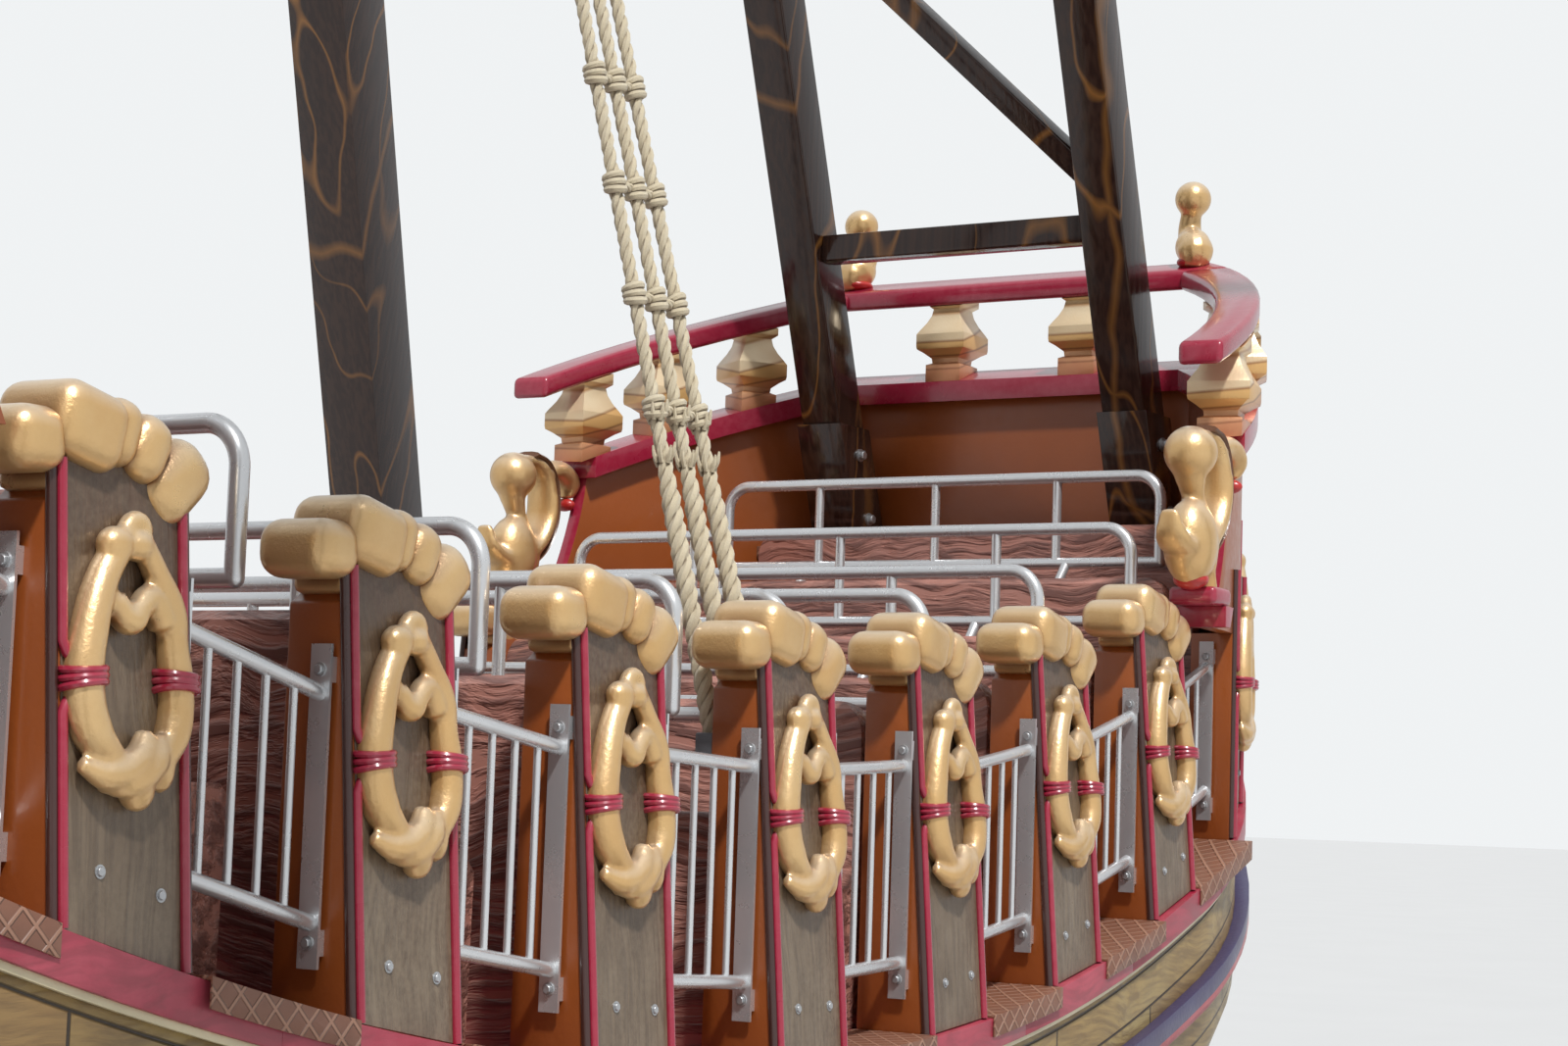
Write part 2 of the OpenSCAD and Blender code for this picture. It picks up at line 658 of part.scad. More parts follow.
module grille(i) {
    x0 = (i - 0.5) * pitch - (pitch - pillar_w) / 2 + seat_gap;
    x1 = (i - 0.5) * pitch + (pitch - pillar_w) / 2 - seat_gap;
    h = grille_h - grille_step * (abs(i - 0.5) - 0.5);
    mid = grille_mid - grille_fall * pow(i - 0.5, 2);
    y = -min(half_w(x0), half_w(x1)) + grille_in;
    slope = (sheer_z(x1) - sheer_z(x0)) / (x1 - x0);
    translate([0, y, 0]) {
        for (s = [0, 1]) {
            xf = s == 0 ? x0 + lug_t : x1 - lug_t - flat_t;
            z = sheer_z(xf) + mid;
            translate([xf, -flat_w / 2, z - h / 2]) cube([flat_t, flat_w, h]);
            for (e = [-1, 1])
                translate([s == 0 ? x0 : x1 - lug_t - 1, -flat_w / 2, z + e * (h / 2 - lug_h) - lug_h / 2])
                    cube([lug_t + 1, flat_w, lug_h]);
        }
        for (e = [-1, 1]) rod([x0 + lug_t + flat_t / 2, 0, sheer_z(x0) + mid + e * (h / 2 - grille_end)],
            [x1 - lug_t - flat_t / 2, 0, sheer_z(x1) + mid + e * (h / 2 - grille_end)], grille_r);
        for (b = [1 : 4]) {
            x = x0 + lug_t + (x1 - x0 - 2 * lug_t) * b / 5;
            z = sheer_z(x0) + slope * (x - x0) + mid;
            translate([x, 0, z - h / 2 + grille_end])
                cylinder(r = grille_bar_r, h = h - 2 * grille_end, $fn = small_fn);
        }
    }
}

module guard_grilles() color("#b4b8bc") for (i = [-3 : 4]) grille(i);

// Seats

module seat(k) {
    x = ROWS[k][0];
    w = seat_half(k);
    face = x - back_t / 2;
    back = x + back_t / 2;
    front = face - bench_d;
    bench_z = sheer_z(x - bench_d / 2) + bench_h;
    top_z = sheer_z(x) + back_h;
    intersection() {
        along_y(-w, w) {
            polygon([[front + bench_toe, 0], [front, bench_z - 2.4 * seat_edge], [front, bench_z - seat_edge],
                [front + seat_edge, bench_z], [face - 1.2 * seat_edge, bench_z],
                [face, bench_z + 2.4 * seat_edge], [face, top_z - seat_edge], [face + seat_edge, top_z],
                [back - seat_edge, top_z], [back, top_z - seat_edge], [back, 0]]);
        }
        along_x(front - seat_edge, back + seat_edge) {
            translate([-w, 0]) square([2 * w, top_z - back_round]);
            translate([-w + back_round, 0]) square([2 * (w - back_round), top_z]);
            for (s = [-1, 1]) translate([s * (w - back_round), top_z - back_round])
                circle(r = back_round, $fn = round_fn);
        }
        above_deck(seat_gap);
    }
}

module seats_stern() color("#7a4434") for (k = [0 : 4]) seat(k);
module seats_bow() color("#7a4434") mirror([1, 0, 0]) for (k = [0 : 4]) seat(k);

module centre_console() color("#7a4434") intersection() {
    translate([-console_t, -seat_half(0), 0]) cube([2 * console_t, 2 * seat_half(0), deck_z + console_h]);
    above_deck(seat_gap);
}

// Lap bars

// Face that carries the brackets of row k
function bracket_x(k) = k == 0 ? console_t : ROWS[k - 1][0] + back_t / 2;
function hinge_z(k) = row_z(k) + hinge_up;

module bracket(k) {
    hx = hinge_x(k);
    hz = hinge_z(k);
    x0 = bracket_x(k) + seat_gap;
    half = barrel_l / 2 + barrel_gap;
    // The plate on the console is short, the one on a seat back tall
    plate_h = bracket_low * (k == 0 ? 0.5 : 1.25);
    ear_low = bracket_low * (k == 0 ? 1 : 0.75);
    ear_high = bracket_low * (k == 0 ? -0.5 : 0);
    for (s = [-1, 1]) translate([0, s > 0 ? half : -half - ear_t, 0]) along_y(0, ear_t) {
        translate([hx, hz]) circle(r = barrel_r, $fn = tube_fn);
        polygon([[x0, hz - ear_low], [hx, hz - barrel_r], [hx, hz + barrel_r * 0.9], [x0, hz + ear_high]]);
    }
    translate([x0, -half - ear_t, hz - bracket_low]) cube([bracket_t, 2 * half + 2 * ear_t, plate_h]);
    translate([hx, 0, hz]) rotate([90, 0, 0])
        cylinder(r = pin_r, h = 2 * (half + ear_t + 0.5 * pin_r), center = true, $fn = tube_fn);
}

module lap_bar_brackets() color("#55585c") both_ends() for (k = [0 : 4], s = [-1, 1])
    translate([0, s * hinge_y, 0]) bracket(k);

module lap_frame(half, low, high) {
    r = bar_bend;
    for (s = [-1, 1]) {
        translate([0, s * half, low]) cylinder(r = bar_r, h = high - r - low, $fn = small_fn);
        translate([0, s * half, low]) sphere(r = bar_r, $fn = small_fn);
        translate([0, s * (half - r), high - r]) rotate([90, 0, 90]) rotate([0, 0, s > 0 ? 0 : 90])
            rotate_extrude(angle = 90, $fn = round_fn) translate([r, 0]) circle(r = bar_r, $fn = small_fn);
    }
    for (z = [low, high]) translate([0, 0, z]) rotate([90, 0, 0])
        cylinder(r = bar_r, h = 2 * (z == low ? half : half - r), center = true, $fn = small_fn);
    for (s = [-1, 0, 1]) translate([0, s * half * 0.55, low])
        cylinder(r = bar_r * 0.8, h = high - low, $fn = small_fn);
}

module lap_bar(k) color("#c4c8cc") {
    x = ROWS[k][1];
    hx = hinge_x(k);
    hz = hinge_z(k);
    translate([x, 0, 0]) lap_frame(bar_half(k), row_z(k) + bar_bottom, row_z(k) + bar_top);
    for (s = [-1, 1]) difference() {
        union() {
            translate([hx, s * hinge_y, hz]) rotate([90, 0, 0])
                cylinder(r = barrel_r, h = barrel_l, center = true, $fn = tube_fn);
            rod([hx, s * hinge_y, hz], [x, s * hinge_y, row_z(k) + bar_bottom], bar_r * 0.8);
        }
        translate([hx, s * hinge_y, hz]) rotate([90, 0, 0])
            cylinder(r = pin_r + shaft_gap, h = barrel_l * 2, center = true, $fn = tube_fn);
    }
}

// Castles

// Front edge of a wing, from its foot on the post's top up to the lower rail
wing_front = [for (i = [0 : 8]) let(u = i / 8)
    [wing_front_x(u), deck_z + post_top + u * (wing_z - post_top)]];

module castle_wings() color("#a08a50") both_ends() both_sides() {
    split = deck_z + post_top;
    intersection() {
        linear_extrude(split - seat_gap) {
            side_plan(castle_x, end_x - wall_t - seat_gap, 0, wall_t);
            side_plan(castle_x, castle_x + pillar_w, 0, post_d);
        }
        above_deck(seat_gap);
    }
    intersection() {
        linear_extrude(axle_h) side_plan(wing_x - wing_foot, end_x - wall_t - seat_gap, 0, wall_t);
        along_y(-big, big) polygon(concat(wing_front,
            [[end_x + wall_t, wing_top(end_x + wall_t)], [end_x + wall_t, split]]));
    }
}

module transoms() color("#8a4a20") both_ends() intersection() {
    along_y(-end_w, end_w) polygon([[end_x - wall_t, 0], [end_x, 0], [end_x, wing_top(end_x)],
        [end_x - wall_t, wing_top(end_x - wall_t)]]);
    above_deck(seat_gap);
}

module castle_decks() color("#9a6038") both_ends() {
    x0 = ROWS[4][0] + back_t / 2 + seat_gap;
    x1 = end_x - wall_t - seat_gap;
    translate([0, 0, poop_z - poop_t]) linear_extrude(poop_t) polygon(concat(
        [for (i = [0 : 6]) let(x = x0 + (x1 - x0) * i / 6) [x, half_w(x, -wall_t) - poop_gap]],
        [for (i = [6 : -1 : 0]) let(x = x0 + (x1 - x0) * i / 6) [x, -half_w(x, -wall_t) + poop_gap]]));
}

// Side rails that follow the wings, lift above the wings' top edge
module side_rail(x0, lift) both_ends() both_sides() intersection() {
    linear_extrude(axle_h) side_plan(x0, end_x - rail_in - seat_gap, rail_out, rail_in);
    along_y(-big, big) polygon([[x0, wing_top(x0) + lift], [end_x, wing_top(end_x) + lift],
        [end_x, wing_top(end_x) + lift + rail_h], [x0, wing_top(x0) + lift + rail_h]]);
}

module end_rail(lift) both_ends() intersection() {
    linear_extrude(axle_h) polygon([
        [end_x - rail_in, -half_w(end_x - rail_in, rail_out)], [end_x + rail_out, -end_w - rail_flare],
        [end_x + rail_out, end_w + rail_flare], [end_x - rail_in, half_w(end_x - rail_in, rail_out)]]);
    along_y(-big, big) polygon([[end_x - 2 * rail_in, wing_top(end_x - 2 * rail_in) + lift],
        [end_x + rail_in, wing_top(end_x + rail_in) + lift],
        [end_x + rail_in, wing_top(end_x + rail_in) + lift + rail_h],
        [end_x - 2 * rail_in, wing_top(end_x - 2 * rail_in) + lift + rail_h]]);
}

low_lift = seat_gap;
top_lift = seat_gap + rail_h + baluster_h;

module lower_rails() color("#a81c40") {
    side_rail(wing_x - low_nose, low_lift);
    end_rail(low_lift);
    both_ends() both_sides() scroll_block();
}

// Block in front of the wing's foot, which carries the scroll
module scroll_block() intersection() {
    translate([0, 0, deck_z + post_top]) linear_extrude(block_h)
        side_plan(block_x, wing_x, (scroll_w - wall_t) / 2 + 10, (scroll_w + wall_t) / 2 + 10);
    along_y(-big, big) polygon(concat([[0, 0]], [for (p = wing_front) p - [seat_gap, 0]], [[0, axle_h]]));
}

module top_rails() color("#a81c40") {
    side_rail(wing_x - nose, top_lift);
    end_rail(top_lift);
}

// Square turned post between the lower and the top rail
module baluster(x, y, turn) intersection() {
    translate([x, y, wing_top(x) + low_lift + rail_h]) rotate([0, 0, turn]) intersection() {
        along_y(-baluster_w, baluster_w) vase();
        along_x(-baluster_w, baluster_w) vase();
    }
    along_y(-big, big) polygon([
        [wing_x - baluster_w, wing_top(wing_x - baluster_w) + low_lift + rail_h + seat_gap],
        [end_x + baluster_w, wing_top(end_x + baluster_w) + low_lift + rail_h + seat_gap],
        [end_x + baluster_w, wing_top(end_x + baluster_w) + top_lift - seat_gap],
        [wing_x - baluster_w, wing_top(wing_x - baluster_w) + top_lift - seat_gap]]);
}

// Side view of a baluster, whose plinth and head run past the rails' slope
module vase() {
    past = baluster_w * wing_slope;
    polygon(concat(
        [[VASE[0][0] * baluster_w / 2, -past]], [for (v = VASE) [v[0] * baluster_w / 2, v[1] * baluster_h]],
        [for (s = [1, -1]) [s * VASE[0][0] * baluster_w / 2, baluster_h + past]],
        [for (i = [len(VASE) - 1 : -1 : 0]) [-VASE[i][0] * baluster_w / 2, VASE[i][1] * baluster_h]],
        [[-VASE[0][0] * baluster_w / 2, -past]]));
}

module balusters() color("#d0a468") both_ends() {
    both_sides() for (i = [0 : 2])
        let(x = wing_x + i * baluster_pitch, y = -half_w(x, (rail_out - rail_in) / 2))
        baluster(x, y, atan2(half_w(x) - half_w(x + 10), 10));
    for (s = [-1, 1]) baluster(end_x + (rail_out - rail_in) / 2, s * end_w * 0.38, 0);
}

// Crescent of outer radius r, open towards the bow and the top
module crescent(r) difference() {
    circle(r = r, $fn = round_fn);
    translate(r * [-0.16, 0.2]) circle(r = r * 0.64, $fn = round_fn);
    polygon(r * [[-0.1, 0.5], [-0.2, 2], [-2, 2], [-2, 0.2], [-0.6, 0.1]]);
}
// Middle of the ball on a crescent of radius r
function ball_at(r) = r * [0.27, 0.88];
// Ball at p in a side view, with its axis across the ship and its seam turned away from the crescent
module side_ball(p, r) translate([p.x, 0, p.y]) rotate([90, 0, 0]) rotate([0, 0, atan2(0.88, 0.27)])
    sphere(r = r, $fn = round_fn);

// Side view of a wing's scroll: a crescent, its foot on the block and its curl towards the lower rail
module scroll_outline() {
    mid = [scroll_x, deck_z + scroll_z];
    curl = [wing_x - low_nose, wing_top(wing_x)] - 1.5 * [foot_r, foot_r];
    translate(mid) crescent(scroll_r);
    translate([block_x, deck_z + post_top + block_h + seat_gap])
        square([2 * foot_r, scroll_z - scroll_r / 3 - post_top - block_h]);
    translate(curl) circle(r = foot_r, $fn = tube_fn);
    polygon([mid + scroll_r * [0.8, 0], curl - foot_r * [0.5, 0.8],
        curl + [0, foot_r], mid + scroll_r * [0.6, 0.7]]);
}

module wing_scroll() translate([0, -half_w(scroll_x, -wall_t / 2), 0]) {
    along_y(-scroll_w / 2, scroll_w / 2) scroll_outline();
    side_ball([scroll_x, deck_z + scroll_z] + ball_at(scroll_r), ball_r);
}

// Scroll that stands on the corner of the top rail
module corner_scroll() {
    x = end_x - corner_in;
    z = wing_top(x) + top_lift + rail_h;
    rise = corner_r + corner_in;
    intersection() {
        translate([x, corner_in - end_w, z - rise])
            cylinder(r = foot_r, h = 2 * rise - corner_r * 0.9, $fn = tube_fn);
        along_y(-big, big) polygon([[0, wing_top(0) + top_lift + rail_h + seat_gap],
            [2 * end_x, wing_top(2 * end_x) + top_lift + rail_h + seat_gap], [0, 2 * axle_h]]);
    }
    translate([x, corner_in - end_w, z + rise]) rotate([0, 0, 45]) {
        along_y(-small_ball_r * 0.6, small_ball_r * 0.6) crescent(corner_r);
        side_ball(ball_at(corner_r), small_ball_r);
    }
}

module scrolls() color("#d4b070") both_ends() both_sides() {
    wing_scroll();
    corner_scroll();
}

// Hangers

// Outline of a hanger from height z0 to z1, moved outwards by grow
module hanger_outline(z0, z1, grow = 0) polygon([
    [hanger_at(z0) - hanger_half - grow, z0], [hanger_at(z0) + hanger_half + grow, z0],
    [hanger_at(z1) + hanger_half + grow, z1], [hanger_at(z1) - hanger_half - grow, z1]]);

module hanger(sx, sy) color("#3b2620") mirror([sx < 0 ? 1 : 0, 0, 0]) translate([0, sy * hanger_y, 0])
    along_y(-hanger_d / 2, hanger_d / 2) hanger_outline(poop_z + seat_gap, axle_h + 150);

module hanger_feet() color("#33211c") both_ends() both_sides() translate([0, -hanger_y, 0]) difference() {
    half = hanger_d / 2 + seat_gap;
    along_y(-half - sleeve_t, half + sleeve_t)
        hanger_outline(poop_z + seat_gap, poop_z + sleeve_h, seat_gap + sleeve_t);
    along_y(-half, half) hanger_outline(poop_z - 50, poop_z + sleeve_h + 50, seat_gap);
}

module crossbars() color("#3b2620") both_ends() for (z = [deck_z + cross_z, deck_z + collar_z])
    translate([hanger_at(z) - tie_w / 2, -hanger_y + hanger_d / 2 + seat_gap, z - tie_w / 2])
        cube([tie_w, 2 * hanger_y - hanger_d - 2 * seat_gap, tie_w]);

module braces() color("#3b2620") both_ends() intersection() {
    z0 = deck_z + brace_low_z;
    z1 = deck_z + brace_high_z;
    side = hanger_y - hanger_d / 2;
    p = [hanger_at(z0), -side, z0];
    q = [hanger_at(z1), side, z1];
    beam(p - (q - p) * 0.2, q + (q - p) * 0.2, brace_w, brace_w);
    translate([0, -side + seat_gap, 0]) cube([end_x, 2 * side - 2 * seat_gap, axle_h]);
}

module collar_tie() color("#3b2620")
    translate([-collar_half + seat_gap, -tie_w / 2, deck_z + collar_z - tie_w / 2])
        cube([2 * collar_half - 2 * seat_gap, tie_w, tie_w]);

module hub() color("#3b2620") translate([0, 0, axle_h]) difference() {
    union() {
        rotate([90, 0, 0]) cylinder(r = hub_r, h = 2 * hub_half, center = true, $fn = round_fn);
        for (y = [hanger_y - hanger_d / 2 - seat_gap - cheek_t, hanger_y + hanger_d / 2 + seat_gap])
            both_sides() along_y(y, y + cheek_t) difference() {
                polygon(concat([for (p = CHEEK) [-p[0] * cheek_x, p[1] * cheek_x]],
                    [for (i = [len(CHEEK) - 1 : -1 : 0]) [CHEEK[i][0] * cheek_x, CHEEK[i][1] * cheek_x]]));
                translate([0, -0.83 * cheek_x]) circle(r = 0.6 * cheek_x, $fn = round_fn);
            }
    }
    rotate([90, 0, 0]) cylinder(r = axle_r + shaft_gap, h = 2 * big, center = true, $fn = round_fn);
}

// Rope ladder

rope_rise = collar_z - rope_foot;
rope_foot_y = pillar_d + seat_gap - half_w(0);
rope_head_y = -tie_w / 2 - seat_gap;

// Point of a rope at height h above the ropes' foot, side -1, 0 or 1
function rope_at(side, h) = let(u = h / rope_rise) [side * rope_gap * (1 - 0.5 * u),
    (rope_foot_y + clamp_d / 2) * (1 - u) + rope_head_y * u, deck_z + rope_foot + h];

module rope_ladder() color("#d8cba8") {
    intersection() {
        union() {
            for (side = [-1, 0, 1]) {
                rod(rope_at(side, 0), rope_at(side, rope_rise * 1.05), rope_r);
                rod(rope_at(side, 0), rope_at(side, splice_h), rope_r * 1.35);
            }
            for (h = [tie_start : tie_pitch : rope_rise - tie_pitch])
                rod(rope_at(-1, h) - [rope_r, 0, 0], rope_at(1, h) + [rope_r, 0, 0], rope_r * 0.7);
        }
        translate([-big, rope_foot_y, 0]) cube([2 * big, rope_head_y - rope_foot_y, axle_h]);
    }
    translate([-rope_gap - clamp_d, rope_foot_y, deck_z + rope_foot - clamp_d])
        cube([2 * (rope_gap + clamp_d), clamp_d, 1.5 * clamp_d]);
}

leg(-1, -1);  // leg_port_bow
leg(1, -1);  // leg_port_stern
leg(-1, 1);  // leg_stbd_bow
leg(1, 1);  // leg_stbd_stern
tower_heads();
axle();
ground_frame();
drive_frame();
drive_wheel();
hull();
wales();
keel_rail();
deck();
entry_treads();
pillars_port();
pillars_stbd();
caps_port();
caps_stbd();
wreaths_port();
wreaths_stbd();
guard_grilles();
seats_stern();
seats_bow();
centre_console();
lap_bar_brackets();
castle_wings();
transoms();
castle_decks();
lower_rails();
top_rails();
balusters();
scrolls();
hanger(1, -1);  // hanger_port_stern
hanger(1, 1);  // hanger_stbd_stern
hanger(-1, -1);  // hanger_port_bow
hanger(-1, 1);  // hanger_stbd_bow
hanger_feet();
crossbars();
braces();
collar_tie();
hub();
rope_ladder();
for (k = [0 : 4]) {
    lap_bar(k);
    mirror([1, 0, 0]) lap_bar(k);
}
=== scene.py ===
import json
import math
from itertools import product

import bpy
from mathutils import Matrix, Vector

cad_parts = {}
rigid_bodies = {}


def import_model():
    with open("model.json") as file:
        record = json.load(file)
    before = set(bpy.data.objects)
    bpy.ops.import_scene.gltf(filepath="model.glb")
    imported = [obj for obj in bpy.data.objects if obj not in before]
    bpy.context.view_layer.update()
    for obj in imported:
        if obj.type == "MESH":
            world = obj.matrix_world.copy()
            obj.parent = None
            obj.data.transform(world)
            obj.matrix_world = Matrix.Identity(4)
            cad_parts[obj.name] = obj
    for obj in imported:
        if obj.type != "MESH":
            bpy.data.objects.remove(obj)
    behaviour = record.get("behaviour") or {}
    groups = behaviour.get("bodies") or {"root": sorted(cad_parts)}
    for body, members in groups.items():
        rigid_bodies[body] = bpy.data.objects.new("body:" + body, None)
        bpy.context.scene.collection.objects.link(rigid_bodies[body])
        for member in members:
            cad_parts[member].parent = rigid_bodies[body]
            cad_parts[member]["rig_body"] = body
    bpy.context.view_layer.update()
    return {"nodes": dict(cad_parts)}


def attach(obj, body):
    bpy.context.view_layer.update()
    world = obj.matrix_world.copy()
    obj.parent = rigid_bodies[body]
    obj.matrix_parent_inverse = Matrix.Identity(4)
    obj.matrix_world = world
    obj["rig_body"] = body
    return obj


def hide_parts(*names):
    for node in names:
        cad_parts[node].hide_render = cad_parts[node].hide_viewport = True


bl_info = {
    "name": "Swinging Ship Ride",
    "version": (1, 0, 0),
    "blender": (4, 5, 0),
    "location": "View3D > Sidebar > Ship",
    "description": "Finishes, mouldings and rigging of a swinging ship fairground ride",
    "category": "Object",
}

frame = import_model()
NODES = frame["nodes"]
BOW, STERN = -1, 1
SIDES = (-1, 1)
PILLARS = range(-3, 4)

# Panels and wreaths, in metres
PANEL_ABOVE_CAP_LEVEL = 0.065
KNOT_BELOW_WREATH = 0.045
WREATH_SIDE = 0.137
PANEL_BOLTS = (-0.07, 0.11)
PANEL_BOLT_LEVEL = 0.15
CASTLE_PANELS = [end * x for end in (BOW, STERN) for x in (3.69, 4.30)]
CASTLE_PANEL_TOP = 1.0
CASTLE_WREATH = 0.60

# Guard grilles: height of the middle ones and what each next one loses, level and fall of
# their middles, and how far their flat bars stand in
GRILLE_HEIGHT, GRILLE_LOSS = 0.83, 0.04
GRILLE_LEVEL, GRILLE_FALL = 0.53, 0.007
GRILLE_FLAT = 0.0233

# Scrolls: place of the ball before a wing, and how far the bow's stand behind the mirrored place
SCROLL_BALL = (2.93, 3.859)
BOW_SCROLL_BACK = 0.70
BOW_BLOCK_BACK = 0.22

# Hangers' feet: how far their faces stand from the hanger's middle, and the heights of their bolts
HANGER_FACE = 0.1183
HANGER_BOLTS = (0.13, 0.42)

# Upper and lower edge of the blue wale, above the deck's sheer curve
WALE_TOP, WALE_FOOT = -0.25, -0.4352
PLANK = 0.15

# Light
SUN_WAY, SUN_POWER = (0.42, 0.50, -0.92), 3.1
SKY, SKY_POWER = (0.86, 0.90, 0.96, 1), 0.42
BACKDROP = (0.87, 0.89, 0.90, 1)
BACKDROP_IN_GLOSS = 0.62


def size(name, default, description):
    """A length in metres that a user may change."""
    return bpy.props.FloatProperty(
        name=name, default=default, description=description, unit="LENGTH")


def turn(name, degrees, description):
    """An angle that a user may change."""
    return bpy.props.FloatProperty(
        name=name, default=math.radians(degrees), description=description, subtype="ANGLE")


def colour(name, default, description):
    """A colour that a user may change."""
    return bpy.props.FloatVectorProperty(
        name=name, default=(*default, 1), size=4, min=0, max=1, subtype="COLOR",
        description=description)


class ShipSizes(bpy.types.PropertyGroup):
    """Lines of the ship that its pieces follow"""

    deck: size("Deck", 1.75, "Height of the deck amidships")
    sheer: size("Sheer radius", 10.0, "Radius of the deck's sheer curve")
    mid_w: size("Half width amidships", 1.70, "Half width of the deck amidships")
    taper_w: size("Half width at the taper", 1.63, "Half width where the ends begin to close in")
    taper_x: size("Taper", 2.9, "Distance from amidships to where the ends begin to close in")
    end_w: size("Half width of the transoms", 0.90, "Half width of the transoms")
    end_x: size("Transoms", 4.68, "Distance from amidships to the transoms")
    pitch: size("Pitch", 0.92, "Distance between pillars")
    pillar_w: size("Pillar width", 0.4, "Width of a pillar along the ship")
    pillar_d: size("Pillar depth", 0.25, "Depth of a pillar at its foot")
    tumble: turn("Tumble", 4.5, "Lean of a pillar's outer face")
    cap_level: size("Cap level", 1.085, "Height of the middle cap above the deck")
    cap_fall: size("Cap fall", 0.014, "Fall of a cap, times the square of its number")
    wreath_mid: size("Wreath", 0.74, "Height of a wreath's middle above the deck")
    castle_x: size("Castle", 3.48, "Distance from amidships to the castles")
    post_top: size("Post top", 1.45, "Height of the castles' front posts")
    wing_x: size("Wing", 3.38, "Distance from amidships to the top of the wings' front edge")
    wing_foot: size("Wing foot", 0.23, "How far the wings' front edge curves forward at its foot")
    wing_z: size("Wing height", 2.15, "Height of the wings' front edge above the deck")
    wing_end_z: size("Wing end height", 2.65, "Height of the wings at the transoms")
    wall: size("Wall", 0.06, "Thickness of the castle walls")
    rail_h: size("Rail", 0.095, "Height of a castle rail")
    baluster_h: size("Baluster", 0.355, "Height between the castle rails")
    poop: size("Castle deck", 1.91, "Height of the castle decks above the deck")
    hanger_x: size("Hanger foot", 4.47, "Distance from amidships to the hangers' feet")
    hanger_y: size("Hanger", 0.76, "Distance of the hangers from the middle line")
    hanger_lean: bpy.props.FloatProperty(
        name="Hanger lean", default=0.3525,
        description="How far a hanger leans in for each metre of height")


class ShipDetail(bpy.types.PropertyGroup):
    """Sizes of the mouldings, ropes and fastenings"""

    piping: size("Piping", 0.012, "Radius of the piping on the pillars' edges")
    panel: size("Panel", 0.004, "How far a panel stands out from its pillar")
    lashing: size("Lashing", 0.0085, "Radius of a lashing's cord")
    scroll_grid: size("Scroll grid", 0.0135, "Grid that the scrolls are blended on")
    wreath_grid: size("Wreath grid", 0.0085, "Grid that the wreaths' folds are blended on")
    rope: size("Rope", 0.022, "Radius of a rope")
    rope_lay: size("Rope lay", 0.15, "Length of one full turn of a rope's strands")
    rope_gap: size("Rope gap", 0.135, "Distance between the ropes at their foot")
    rope_foot: size("Rope foot", 0.90, "Height of the ropes' foot above the deck")
    rope_head: size("Rope head", 6.1, "Height of the ropes' upper end above the deck")
    splice: size("Splice", 0.85, "Height of the thicker stretch above the ropes' foot")
    rung_start: size("First rung", 1.0, "Height of the first cross rope above the ropes' foot")
    rung_gap: size("Rung gap", 0.35, "Distance between the cross ropes")
    bolt: size("Bolt", 0.014, "Radius of a bolt's head")


